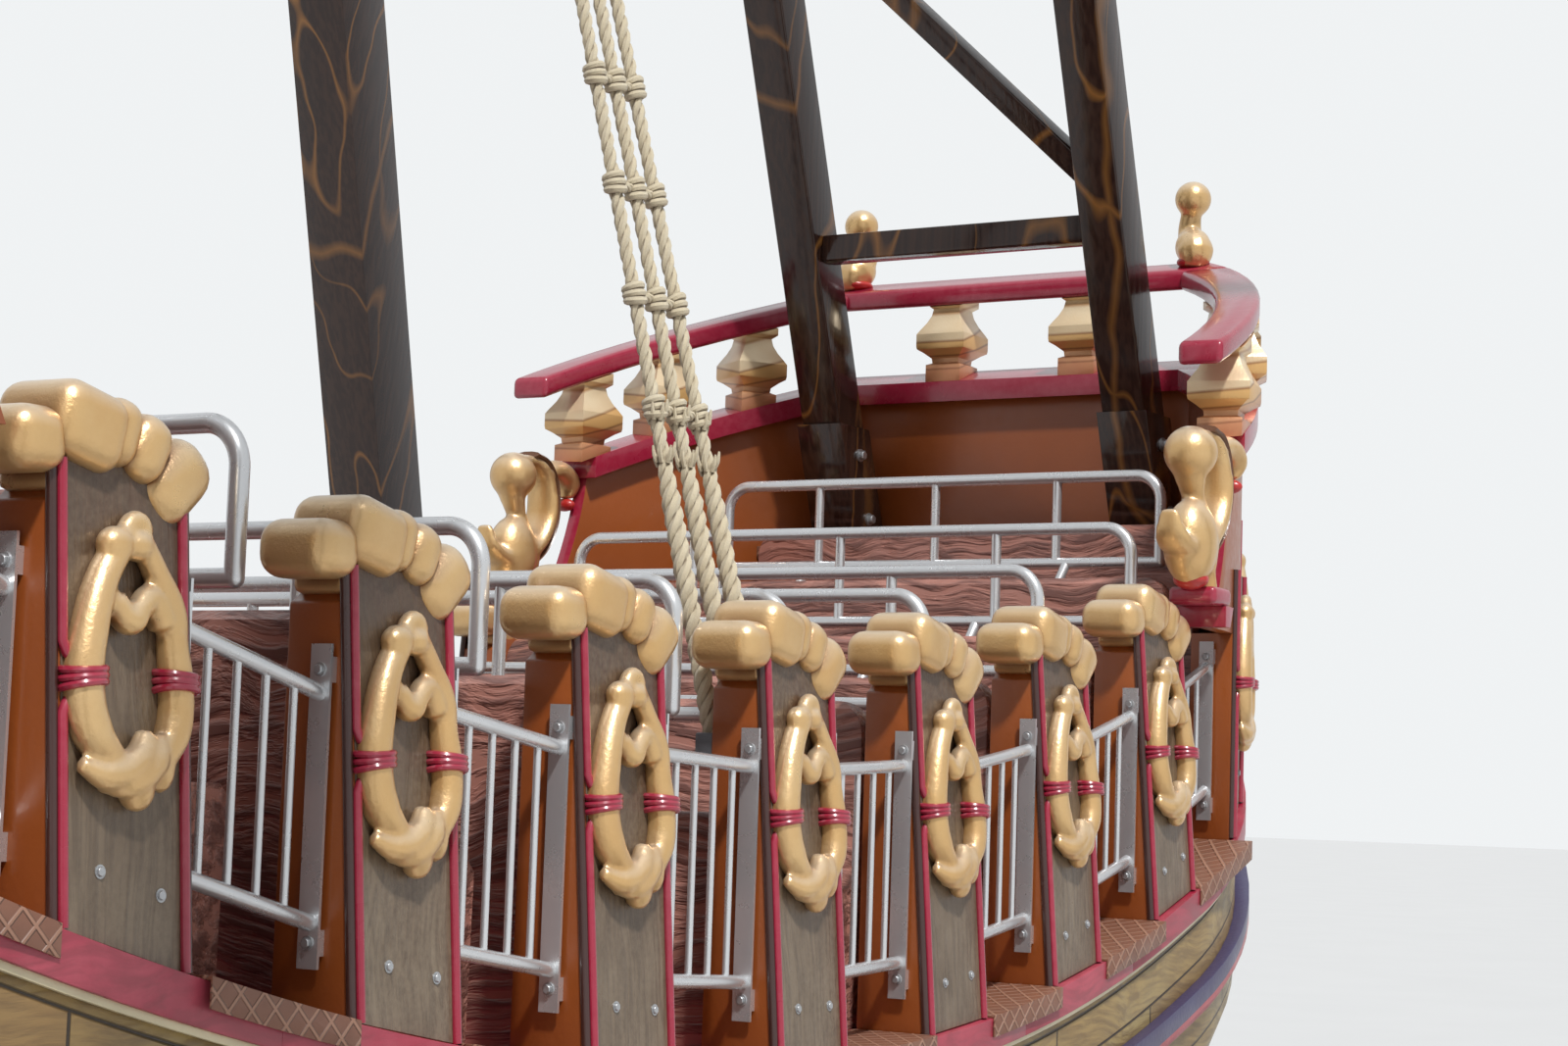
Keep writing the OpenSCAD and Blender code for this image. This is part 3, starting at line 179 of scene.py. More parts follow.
class ShipColours(bpy.types.PropertyGroup):
    """Paints and finishes"""

    gold: colour("Gold", (0.74, 0.47, 0.19), "Satin gold of the mouldings")
    gold_warm: colour("Warm gold", (0.84, 0.62, 0.34), "Broad patches in the gold")
    gold_worn: colour("Worn gold", (0.60, 0.31, 0.10), "Small patches in the gold")
    # Painted highlight: gold made paler where it faces up
    gold_top_highlight: colour("Pale gold", (0.90, 0.76, 0.58), "Painted highlight where the gold faces up")
    # Painted shade, darkening the gold and the balusters in their creases
    gold_crease_shade: colour("Gold creases", (0.20, 0.070, 0.020), "Painted shade in the gold's creases")
    crimson: colour("Crimson", (0.34, 0.009, 0.038), "Gloss paint of rails and deck edge")
    faded: colour("Faded crimson", (0.50, 0.085, 0.12), "Crimson worn by sun and shoes")
    deck_grain: colour("Deck grain", (0.16, 0.025, 0.03), "Dark lines in the deck edge")
    grey: colour("Grey wood", (0.165, 0.115, 0.070), "Weathered panels")
    # Painted sheen: pale runs down the panels
    grey_sheen: colour("Pale grey wood", (0.25, 0.190, 0.125), "Painted sheen in streaks down the panels")
    grey_patch: colour("Grey wood patches", (0.095, 0.060, 0.036), "Dark patches of the panels")
    grey_dark: colour("Grey wood grain", (0.070, 0.043, 0.025), "Grain of the panels")
    grey_speck: colour("Grey wood specks", (0.34, 0.27, 0.185), "Bare specks of the panels")
    # Painted shadow of the caps, brown on the top of the panels
    cap_shadow: colour("Cap shadow", (0.070, 0.026, 0.012), "Painted shadow of the caps on the panels")
    orange: colour("Orange brown", (0.34, 0.085, 0.016), "Paint of pillars and castle walls")
    orange_dark: colour("Dark orange brown", (0.24, 0.055, 0.012), "Patches in that paint")
    # Painted shade in the creases of the orange brown paint
    orange_crease_shade: colour("Orange creases", (0.10, 0.028, 0.012), "Painted shade in that paint's creases")
    brown: colour("Dark brown", (0.030, 0.013, 0.009), "Gloss paint of towers and hangers")
    brown_grain: colour("Brown grain", (0.052, 0.024, 0.015), "Lines in the dark brown paint")
    streak: colour("Streak", (0.46, 0.20, 0.045), "Fine streaks in the dark brown paint")
    bench: colour("Bench", (0.47, 0.20, 0.15), "Moulded wood grain of the benches")
    bench_light: colour("Light bench", (0.48, 0.22, 0.17), "Lighter stretches of the benches")
    bench_dark: colour("Bench grain", (0.055, 0.015, 0.013), "Dark lines of the benches")
    bench_worn: colour("Worn bench", (0.42, 0.24, 0.20), "Worn patches of the benches")
    plank: colour("Plank", (0.40, 0.30, 0.11), "Olive yellow of the planking")
    plank_dark: colour("Dark plank", (0.19, 0.10, 0.04), "Brown of the planking")
    plank_patch: colour("Plank patches", (0.30, 0.17, 0.06), "Patches of the planking")
    plank_grain: colour("Plank grain", (0.11, 0.06, 0.025), "Grain of the planking")
    seam: colour("Seam", (0.035, 0.022, 0.012), "Seams between the planks")
    cream: colour("Cream", (0.80, 0.70, 0.45), "Line under the deck edge")
    wale: colour("Wale", (0.035, 0.03, 0.11), "Dark blue of the wale")
    wale_dirt: colour("Wale dirt", (0.10, 0.07, 0.07), "Dirt on the wale and its lines")
    red_line: colour("Red line", (0.50, 0.03, 0.05), "Line under the wale")
    tread: colour("Tread", (0.26, 0.112, 0.065), "Patterned treads and castle decks")
    tread_dark: colour("Dark tread", (0.11, 0.040, 0.022), "Patches of the treads")
    # Paler colour of the treads' raised pattern
    tread_pale_ridges: colour("Pale tread ridges", (0.46, 0.25, 0.165), "Raised pattern of the treads")
    hemp: colour("Hemp", (0.72, 0.62, 0.43), "Ropes")
    hemp_fibre: colour("Hemp fibre", (0.50, 0.40, 0.25), "Fibres of the ropes")
    hemp_worn: colour("Worn hemp", (0.80, 0.73, 0.57), "Bleached patches of the ropes")
    # Painted shade between the ropes' strands
    hemp_crease_shade: colour("Hemp creases", (0.22, 0.15, 0.08), "Painted shade between the rope strands")
    steel: colour("Steel", (0.74, 0.75, 0.76), "Satin stainless steel")
    zinc: colour("Zinc", (0.50, 0.51, 0.52), "Plated bolts")
    machined: colour("Machined steel", (0.42, 0.41, 0.39), "The axle")
    grey_paint: colour("Grey paint", (0.16, 0.17, 0.185), "Drive, keel rail and brackets")
    rubber: colour("Rubber", (0.022, 0.022, 0.023), "The drive tyre")
    piping_brown: colour("Brown piping", (0.055, 0.018, 0.014), "Beading of the pillars")
    edge_brown: colour("Brown edging", (0.15, 0.060, 0.026), "Edges of the scrolls")
    red_touch: colour("Red touches", (0.55, 0.025, 0.02), "Touches on the scrolls")


def sizes():
    return bpy.context.scene.ship_sizes


def detail():
    return bpy.context.scene.ship_detail


def colours():
    return bpy.context.scene.ship_colours


# Lines of the ship


def half_width(x, out=0.0):
    """Half width of the ship's plan at x, moved outwards by out."""
    s = sizes()
    x = abs(x)
    if x <= s.taper_x:
        return s.mid_w - (s.mid_w - s.taper_w) * (x / s.taper_x) ** 2 + out
    radius = ((s.end_x - s.taper_x) ** 2 + (s.taper_w - s.end_w) ** 2) / (2 * (s.taper_w - s.end_w))
    return s.taper_w - radius + math.sqrt((radius + out) ** 2 - (x - s.taper_x) ** 2)


def sheer(x):
    """Height of the deck at x."""
    s = sizes()
    return s.deck + s.sheer - math.sqrt(s.sheer ** 2 - x * x)


def wing_slope():
    """Rise of the wings' top edge for each metre towards the transoms."""
    s = sizes()
    return (s.wing_end_z - s.wing_z) / (s.end_x - s.wing_x)


def wing_top(x):
    """Height of the wings' top edge at x."""
    s = sizes()
    return s.deck + s.wing_z + wing_slope() * (abs(x) - s.wing_x)


def at_pillar(x):
    """Foot of the outer face at x on the port side, leaning as the pillars do."""
    place = Matrix.Translation((x, -half_width(x), sheer(x)))
    return place @ Matrix.Rotation(-sizes().tumble, 4, "X")


def at_wall(x):
    """Foot of a castle's wall at x on the port side, turned with the ship's plan."""
    turn = math.atan2(half_width(x - 0.01) - half_width(x + 0.01), 0.02)
    return Matrix.Translation((x, -half_width(x), sheer(x))) @ Matrix.Rotation(turn, 4, "Z")


def wing_front(share):
    """Distance from amidships of the wings' front edge, share of the way up."""
    s = sizes()
    return s.wing_x - s.wing_foot * (1 - share) ** 1.5


# Modelling


def deselect():
    bpy.ops.object.select_all(action="DESELECT")


def pick(piece):
    """Make the piece the only one selected."""
    deselect()
    piece.select_set(True)
    bpy.context.view_layer.objects.active = piece
    return piece


def settle(piece):
    """Put the piece's place, turn and size into its mesh."""
    pick(piece)
    bpy.ops.object.transform_apply(location=True, rotation=True, scale=True)
    return piece


def shaped(piece, kind, **values):
    """Add a modifier and apply it."""
    pick(piece)
    modifier = piece.modifiers.new(kind.title(), kind)
    for key, value in values.items():
        setattr(modifier, key, value)
    bpy.ops.object.modifier_apply(modifier=modifier.name)
    return piece


def rounded(piece, width, segments=2, angle=40):
    """Round the piece's edges."""
    return shaped(piece, "BEVEL", width=width, segments=segments, limit_method="ANGLE",
                  angle_limit=math.radians(angle), use_clamp_overlap=True)


def smooth(piece, angle=38):
    pick(piece)
    bpy.ops.object.shade_smooth_by_angle(angle=math.radians(angle))
    return piece


def copied(piece, place):
    """A copy with its own mesh, moved by the matrix place."""
    new = bpy.data.objects.new(piece.name, piece.data.copy())
    bpy.context.scene.collection.objects.link(new)
    new.data.transform(place)
    if place.determinant() < 0:
        new.data.flip_normals()
    return new


def mirrored(piece, axis=(0, 1, 0)):
    """A copy on the other side of the ship."""
    return copied(piece, Matrix.Scale(-1, 4, axis))


def moved(piece, place):
    """The piece itself, moved by the matrix place."""
    piece.data.transform(place)
    return piece


def removed(piece):
    data = piece.data
    bpy.data.objects.remove(piece)
    bpy.data.meshes.remove(data)


def joined(pieces, name):
    """Join the pieces into one object."""
    pick(pieces[0])
    for piece in pieces[1:]:
        piece.select_set(True)
    if len(pieces) > 1:
        bpy.ops.object.join()
    pieces[0].name = name
    pieces[0].data.name = name
    return pieces[0]


def repeated(piece, places, name):
    """Copies of the piece at all places, as one object. The piece itself goes."""
    copies = [copied(piece, place) for place in places]
    removed(piece)
    return joined(copies, name)


def block(low, high, edge=0.003, segments=2):
    """Box with rounded edges between two corners."""
    low, high = Vector(low), Vector(high)
    bpy.ops.mesh.primitive_cube_add(size=1, location=(low + high) / 2)
    piece = bpy.context.object
    piece.scale = high - low
    settle(piece)
    return rounded(piece, edge, segments)


def ball(centre, radii, turn=(0, 0, 0), fine=24):
    bpy.ops.mesh.primitive_uv_sphere_add(
        segments=fine, ring_count=fine // 2, radius=1, location=centre, rotation=turn)
    piece = bpy.context.object
    piece.scale = radii if hasattr(radii, "__len__") else (radii,) * 3
    return settle(piece)


def roll(start, end, radius, edge=0.0, vertices=28):
    """Round bar from start to end, with its ends rounded by edge."""
    start, end = Vector(start), Vector(end)
    way = end - start
    bpy.ops.mesh.primitive_cylinder_add(
        vertices=vertices, radius=radius, depth=way.length, location=(start + end) / 2,
        rotation=way.to_track_quat("Z", "Y").to_euler())
    piece = settle(bpy.context.object)
    return rounded(piece, edge, 4, 60) if edge else piece


def tube_curve(sides, fine=12):
    """Curve drawn as a tube, whose points give the tube's radius."""
    curve = bpy.data.curves.new("tube", "CURVE")
    curve.dimensions = "3D"
    curve.resolution_u = fine
    curve.bevel_depth = 1.0
    curve.bevel_resolution = sides
    curve.use_fill_caps = True
    return curve


def as_mesh(curve):
    """The curve as a piece with a mesh."""
    piece = bpy.data.objects.new("tube", curve)
    bpy.context.scene.collection.objects.link(piece)
    pick(piece)
    bpy.ops.object.convert(target="MESH")
    return bpy.context.object


def swept(points, radii, sides=3, fine=5, handles="AUTO"):
    """Tube with a changing radius through the points, smooth unless its handles are VECTOR."""
    curve = tube_curve(sides, fine)
    line = curve.splines.new("BEZIER")
    line.bezier_points.add(len(points) - 1)
    for knot, point, radius in zip(line.bezier_points, points, radii):
        knot.co = point
        knot.radius = radius
        knot.handle_left_type = knot.handle_right_type = handles
    return as_mesh(curve)


def stranded(start, end, radius, lay, strands=3, swell=lambda share: 1.0):
    """Rope of twisted strands. Its radius is multiplied by swell at each share of its length."""
    start, end = Vector(start), Vector(end)
    way = end - start
    across = way.cross((0, 1, 0)).normalized()
    beside = way.cross(across).normalized()
    steps = max(6, round(way.length / lay * 8))
    curve = tube_curve(1)
    for strand in range(strands):
        line = curve.splines.new("POLY")
        line.points.add(steps)
        for step, point in enumerate(line.points):
            share = step / steps
            angle = math.tau * (share * way.length / lay + strand / strands)
            width = radius * swell(share)
            out = (across * math.cos(angle) + beside * math.sin(angle)) * width * 0.5
            point.co = (*(start + way * share + out), 1)
            point.radius = width * 0.54
    return as_mesh(curve)


def blended(pieces, grid, name, rounds=3):
    """Melt closed pieces into one moulded skin."""
    piece = joined(pieces, name)
    shaped(piece, "REMESH", mode="VOXEL", voxel_size=grid)
    shaped(piece, "SMOOTH", factor=0.5, iterations=rounds)
    piece.data.shade_smooth()
    return piece


def disc(vertices, radius, depth, level):
    """Flat cylinder standing along Z, with its middle at the level."""
    bpy.ops.mesh.primitive_cylinder_add(
        vertices=vertices, radius=radius, depth=depth, location=(0, 0, level))
    return settle(bpy.context.object)


def bolt_head(radius, height):
    """Hexagon head on a washer, standing along Z."""
    washer = disc(16, radius * 1.35, height * 0.3, height * 0.15)
    head = disc(6, radius, height * 0.8, height * 0.6)
    return joined([washer, rounded(head, radius * 0.12, 1, 20)], "bolt")


def ring(major, minor, place, turn, fine):
    """One turn of cord."""
    bpy.ops.mesh.primitive_torus_add(
        major_segments=fine, minor_segments=8, major_radius=major, minor_radius=minor,
        location=place, rotation=turn)
    return settle(bpy.context.object)


def ribbon(line, wide, sides=4):
    """Tube through points [x, z, radius] in the middle plane, made wide times as broad."""
    tube = swept([(x, 0, z) for x, z, _ in line], [radius for *_, radius in line], sides, 8)
    return moved(tube, Matrix.Scale(wide, 4, (0, 1, 0)))


def raised(height):
    return Matrix.Translation((0, 0, height))


def facing(point, direction):
    """Place at the point with Z turned to the direction."""
    turn = Vector(direction).to_track_quat("Z", "Y").to_matrix().to_4x4()
    return Matrix.Translation(point) @ turn


def from_node(node, name):
    """A welded copy of a CAD node, to be finished in its place."""
    piece = bpy.data.objects.new(name, NODES[node].data.copy())
    bpy.context.scene.collection.objects.link(piece)
    piece.data.materials.clear()
    pick(piece)
    bpy.ops.mesh.customdata_custom_splitnormals_clear()
    bpy.ops.object.mode_set(mode="EDIT")
    bpy.ops.mesh.select_all(action="SELECT")
    bpy.ops.mesh.remove_doubles(threshold=0.00002)
    bpy.ops.mesh.dissolve_limited(angle_limit=math.radians(0.4))
    bpy.ops.object.mode_set(mode="OBJECT")
    return piece


def body_of(node):
    return NODES[node]["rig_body"]


def finished(piece, finish, body, nodes=()):
    """Give the piece its finish and let it ride on its body."""
    piece.data.materials.clear()
    piece.data.materials.append(bpy.data.materials[finish])
    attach(piece, body)
    if nodes:
        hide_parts(*nodes)
    return piece


def dressed(node, finish, edge=0.004, segments=2, angle=40):
    """A CAD node with rounded edges and its finish."""
    piece = from_node(node, node + "_skin")
    if edge:
        rounded(piece, edge, segments, angle)
    smooth(piece)
    return finished(piece, finish, body_of(node), [node])


def both_sides(port, name, ending, finish, replaces=False):
    """Finish a port piece and its mirror image, which may stand in for the nodes of that name."""
    for side, piece in (("port", port), ("stbd", mirrored(port))):
        piece.name = f"{name}_{side}{ending}"
        finished(piece, finish, "ship", [f"{name}_{side}"] if replaces else ())


def bolted(name, places, factor, height):
    """Zinc plated bolts at the places, their heads factor times the common radius."""
    piece = repeated(bolt_head(detail().bolt * factor, height), places, name)
    finished(smooth(piece), "zinc", "ship")


# Shader groups and materials


class Graph:
    """A node tree. The inputs of a new node take constants or outputs of other nodes."""

    def __init__(self, tree):
        self.tree = tree

    def add(self, kind, values=None, **settings):
        node = self.tree.nodes.new(kind)
        for key, value in settings.items():
            setattr(node, key, value)
        for key, value in (values or {}).items():
            if hasattr(value, "is_output"):
                self.tree.links.new(value, node.inputs[key])
            else:
                node.inputs[key].default_value = value
        return node

    def math(self, operation, *values, clamp=False):
        values = dict(enumerate(values))
        node = self.add("ShaderNodeMath", values, operation=operation, use_clamp=clamp)
        return node.outputs[0]

    def times(self, first, second):
        return self.math("MULTIPLY", first, second)

    def off_middle(self, value):
        """How far the fraction of the value is from a half."""
        return self.math("ABSOLUTE", self.math("SUBTRACT", self.math("FRACT", value), 0.5))

    def vector(self, operation, first, second, slot=1):
        values = {0: first, slot: second}
        return self.add("ShaderNodeVectorMath", values, operation=operation).outputs[0]

    def axes(self, vector):
        return self.add("ShaderNodeSeparateXYZ", {0: vector}).outputs

    def ramp(self, value, low, high):
        """0 where the value is below low, 1 where it is above high."""
        values = {"Value": value, "From Min": low, "From Max": high}
        return self.add("ShaderNodeMapRange", values).outputs["Result"]

    def mix(self, share, first, second, most=1.0):
        """Two colours mixed. Where the share is 1, the second makes up most of the mix."""
        share = share if most == 1.0 else self.times(share, most)
        values = {0: share, 6: first, 7: second}
        return self.add("ShaderNodeMix", values, data_type="RGBA").outputs[2]


class Group(Graph):
    """A shader group with named outputs and inputs. An input is a vector unless it is a number."""

    def __init__(self, name, outputs, **inputs):
        super().__init__(bpy.data.node_groups.new(name, "ShaderNodeTree"))
        for label, default in inputs.items():
            kind = "NodeSocketFloat" if isinstance(default, float) else "NodeSocketVector"
            socket = self.tree.interface.new_socket(label, in_out="INPUT", socket_type=kind)
            if default is not None:
                socket.default_value = default
        for label in outputs:
            self.tree.interface.new_socket(
                label, in_out="OUTPUT", socket_type="NodeSocketFloat")
        self.given = self.tree.nodes.new("NodeGroupInput").outputs
        self.results = self.tree.nodes.new("NodeGroupOutput").inputs

    def give(self, label, value):
        self.tree.links.new(value, self.results[label])


def mottle_group():
    """Cloudy patches with fine specks in them."""
    g = Group("Mottle", ["Patches", "Specks"], Vector=None, Scale=3.0)
    for label, factor, fine in (("Patches", 1.0, 6.0), ("Specks", 14.0, 3.0)):
        noise = g.add("ShaderNodeTexNoise", {
            "Vector": g.given["Vector"], "Scale": g.times(g.given["Scale"], factor),
            "Detail": fine, "Roughness": 0.62})
        g.give(label, g.ramp(noise.outputs["Fac"], 0.3, 0.7))


def grain_group():
    """Long wavy lines of wood grain. Stretch is the number of lines a metre along each axis."""
    g = Group("Grain", ["Lines", "Tone"], Vector=None, Stretch=(8, 8, 1), Wander=0.4, Fine=4.0)
    place = g.given["Vector"]
    bend = g.add("ShaderNodeTexNoise", {"Vector": place, "Scale": 1.6, "Detail": 2.0})
    centred = g.vector("SUBTRACT", bend.outputs["Color"], (0.5, 0.5, 0.5))
    wander = g.vector("SCALE", centred, g.given["Wander"], "Scale")
    drawn = g.vector("MULTIPLY", g.vector("ADD", place, wander), g.given["Stretch"])
    for label, scale, low, high in (("Lines", 3.0, 0.40, 0.62), ("Tone", 0.8, 0.30, 0.70)):
        noise = g.add("ShaderNodeTexNoise", {
            "Vector": drawn, "Scale": scale, "Detail": g.given["Fine"], "Roughness": 0.55})
        g.give(label, g.ramp(noise.outputs["Fac"], low, high))


def crease_shade_group():
    """Mask of painted shade: 1 in the creases and corners of a moulding, 0 where it is open."""
    g = Group("Creases", ["Crease"], Reach=0.06, Low=0.35, High=0.85)
    shade = g.add("ShaderNodeAmbientOcclusion", {"Distance": g.given["Reach"]},
                  samples=8, only_local=True)
    node = g.add("ShaderNodeMapRange", {
        "Value": shade.outputs["AO"], "From Min": g.given["Low"], "From Max": g.given["High"],
        "To Min": 1.0, "To Max": 0.0})
    g.give("Crease", node.outputs["Result"])


def sheer_group():
    """Height above the deck's sheer curve, and the seams and tones of planks that follow it."""
    s = sizes()
    g = Group("Sheer", ["Height", "Seam", "Tone"], Vector=None, Plank=PLANK)
    axes = g.axes(g.given["Vector"])
    square = g.times(axes["X"], axes["X"])
    drop = g.math("SQRT", g.math("SUBTRACT", s.sheer ** 2, square))
    height = g.math("ADD", g.math("SUBTRACT", axes["Z"], s.deck + s.sheer), drop)
    g.give("Height", height)
    row = g.math("DIVIDE", height, g.given["Plank"])
    number = g.math("FLOOR", row)
    along = g.math("ADD", g.math("DIVIDE", axes["X"], 2.3), g.times(number, 0.37))
    seam = g.ramp(g.off_middle(row), 0.455, 0.49)
    butt = g.ramp(g.off_middle(along), 0.4975, 0.499)
    g.give("Seam", g.math("MAXIMUM", seam, butt))
    pair = g.add("ShaderNodeCombineXYZ", {0: number, 1: g.math("FLOOR", along)})
    tone = g.add("ShaderNodeTexWhiteNoise", {"Vector": pair.outputs[0]})
    g.give("Tone", tone.outputs["Value"])


def tread_group():
    """Raised lozenges, laid crosswise on flat and upright faces alike."""
    g = Group("Tread", ["Raised"], Vector=None, Pitch=26.0)
    axes = g.axes(g.given["Vector"])
    across = g.math("ADD", axes["Y"], axes["Z"])
    ridges = []
    for sign in (1.0, -1.0):
        way = g.math("MULTIPLY_ADD", across, sign, axes["X"])
        phase = g.times(g.times(way, g.given["Pitch"]), math.pi)
        ridges.append(g.ramp(g.math("ABSOLUTE", g.math("SINE", phase)), 0.93, 0.985))
    g.give("Raised", g.math("MAXIMUM", *ridges))


class Finish(Graph):
    """One material, with its shader and the object's own coordinates."""

    def __init__(self, name, **constants):
        self.material = bpy.data.materials.new(name)
        self.material.use_nodes = True
        super().__init__(self.material.node_tree)
        self.shader = self.tree.nodes["Principled BSDF"]
        for key, value in constants.items():
            self.shader.inputs[key.replace("_", " ")].default_value = value
        self.place = self.add("ShaderNodeTexCoord").outputs["Object"]

    def use(self, name, **values):
        """Place a shader group, fed with the object's coordinates."""
        node = self.add("ShaderNodeGroup", values, node_tree=bpy.data.node_groups[name])
        if "Vector" in node.inputs:
            self.tree.links.new(self.place, node.inputs["Vector"])
        return node.outputs

    def mottle(self, scale):
        """Patches and specks."""
        outputs = self.use("Mottle", Scale=scale)
        return outputs["Patches"], outputs["Specks"]

    # Mask of painted shade in creases and corners
    def crease_shade(self, reach, low, high):
        return self.use("Creases", Reach=reach, Low=low, High=high)["Crease"]

    def thread(self, value, level, sharp):
        """1 where the value crosses the level, 0 a little way off it."""
        off = self.math("ABSOLUTE", self.math("SUBTRACT", value, level))
        return self.math("SUBTRACT", 1.0, self.times(off, sharp), clamp=True)

    def paint(self, output):
        self.tree.links.new(output, self.shader.inputs["Base Color"])

    def rough(self, value, low, high):
        """Roughness from low to high as the value goes from 0 to 1."""
        values = {"Value": value, "To Min": low, "To Max": high}
        node = self.add("ShaderNodeMapRange", values)
        self.tree.links.new(node.outputs["Result"], self.shader.inputs["Roughness"])

    def relief(self, value, distance, strength=1.0):
        """Bump of the given depth in metres."""
        values = {"Height": value, "Distance": distance, "Strength": strength}
        node = self.add("ShaderNodeBump", values)
        self.tree.links.new(node.outputs["Normal"], self.shader.inputs["Normal"])


def gold_finish(c):
    """Satin gold, with a painted highlight where it faces up and painted shade in the creases."""
    f = Finish("gold", Metallic=0.58, Coat_Weight=0.4, Coat_Roughness=0.18)
    patches, specks = f.mottle(6.0)
    broad, _ = f.mottle(1.7)
    # Painted highlight: paler gold where the surface faces up
    up = f.axes(f.add("ShaderNodeTexCoord").outputs["Normal"])["Z"]
    toned = f.mix(broad, c.gold, c.gold_warm, 0.5)
    worn = f.mix(patches, toned, c.gold_worn, 0.4)
    lit = f.mix(f.ramp(up, 0.15, 0.95), worn, c.gold_top_highlight, 0.75)
    # Painted shade: the gold darkened in its creases and corners
    f.paint(f.mix(f.crease_shade(0.060, 0.45, 0.98), lit, c.gold_crease_shade, 0.95))
    f.rough(patches, 0.26, 0.40)
    f.relief(specks, 0.0005)


# Bands of a baluster: share of its height and colour
BALUSTER_BANDS = (
    (0.0, (0.55, 0.20, 0.10)), (0.145, (0.60, 0.24, 0.12)), (0.165, (0.30, 0.10, 0.05)),
    (0.19, (0.66, 0.30, 0.16)), (0.31, (0.70, 0.36, 0.16)), (0.335, (0.28, 0.11, 0.04)),
    (0.36, (0.78, 0.45, 0.16)), (0.53, (0.80, 0.48, 0.18)), (0.55, (0.34, 0.15, 0.06)),
    (0.58, (0.84, 0.66, 0.42)), (0.86, (0.86, 0.70, 0.47)), (0.90, (0.50, 0.26, 0.11)),
    (0.94, (0.82, 0.58, 0.30)))


def baluster_finish(c):
    """Turned posts painted in bands that follow the rails' slope."""
    s = sizes()
    f = Finish("baluster_bands", Metallic=0.35, Coat_Weight=0.3, Coat_Roughness=0.25)
    axes = f.axes(f.place)
    foot = wing_top(0) + s.rail_h
    rise = f.times(f.math("ABSOLUTE", axes["X"]), wing_slope())
    above = f.math("SUBTRACT", f.math("SUBTRACT", axes["Z"], foot), rise)
    bands = f.add("ShaderNodeValToRGB", {0: f.math("DIVIDE", above, s.baluster_h)})
    stops = bands.color_ramp.elements
    stops.remove(stops[1])
    stops[0].color = (*BALUSTER_BANDS[0][1], 1)
    for place, tint in BALUSTER_BANDS[1:]:
        stops.new(place).color = (*tint, 1)
    patches, specks = f.mottle(7.0)
    worn = f.mix(patches, bands.outputs[0], c.gold, 0.25)
    # Painted shade: the balusters darkened in their creases
    f.paint(f.mix(f.crease_shade(0.03, 0.3, 0.85), worn, c.gold_crease_shade, 0.7))
    f.rough(patches, 0.28, 0.42)
    f.relief(specks, 0.0004)


def crimson_finish(c):
    """Gloss crimson with faint scuffs."""
    f = Finish("crimson", Coat_Weight=0.7, Coat_Roughness=0.12)
    patches, specks = f.mottle(2.2)
    f.paint(f.mix(f.times(patches, specks), c.crimson, c.faded, 0.45))
    f.rough(patches, 0.22, 0.38)
    f.relief(specks, 0.0003)


def deck_finish(c):
    """Crimson deck edge, worn pale where shoes and rain reach it."""
    f = Finish("deck_crimson", Coat_Weight=0.3, Coat_Roughness=0.3)
    patches, _ = f.mottle(3.5)
    grain = f.use("Grain", Stretch=(1.2, 9.0, 9.0), Wander=0.3)["Lines"]
    f.paint(f.mix(grain, f.mix(patches, c.crimson, c.faded), c.deck_grain, 0.4))
    f.rough(patches, 0.3, 0.6)
    f.relief(grain, 0.0008)


def grey_finish(c):
    """Weathered panels with grain: a brown painted shadow of the cap at their top, greyer towards
    the deck, and pale runs of painted sheen.
    """
    f = Finish("weathered", Coat_Weight=0.3, Coat_Roughness=0.3)
    height = f.use("Sheer")["Height"]
    broad, _ = f.mottle(1.5)
    patches, specks = f.mottle(4.5)
    grain = f.use("Grain", Stretch=(22.0, 22.0, 1.1), Wander=0.12)["Lines"]
    # Pale runs of painted sheen down the panels
    runs = f.use("Grain", Stretch=(6.0, 6.0, 0.45), Wander=0.2)["Tone"]
    # Painted shadow of the cap: brown at the top of the panel, fading towards the deck
    cap_shadow_mask = f.ramp(f.math("ADD", height, f.times(broad, 0.5)), 0.55, 1.25)
    cap_shadowed = f.mix(cap_shadow_mask, f.mix(runs, c.grey, c.grey_sheen), c.cap_shadow, 0.95)
    patched = f.mix(patches, cap_shadowed, c.grey_patch, 0.6)
    lined = f.mix(grain, patched, c.grey_dark, 0.55)
    f.paint(f.mix(f.times(specks, broad), lined, c.grey_speck, 0.35))
    f.rough(patches, 0.26, 0.55)
    f.relief(f.math("ADD", grain, f.times(specks, 0.5)), 0.0012)


def orange_finish(c):
    """Satin orange brown, with painted shade in the creases."""
    f = Finish("orange_brown", Coat_Weight=0.35, Coat_Roughness=0.25)
    patches, specks = f.mottle(1.6)
    base = f.mix(patches, c.orange, c.orange_dark, 0.5)
    # Painted shade: darker orange brown in the creases
    f.paint(f.mix(f.crease_shade(0.12, 0.2, 0.8), base, c.orange_crease_shade, 0.6))
    f.rough(specks, 0.28, 0.42)
    f.relief(specks, 0.0005)


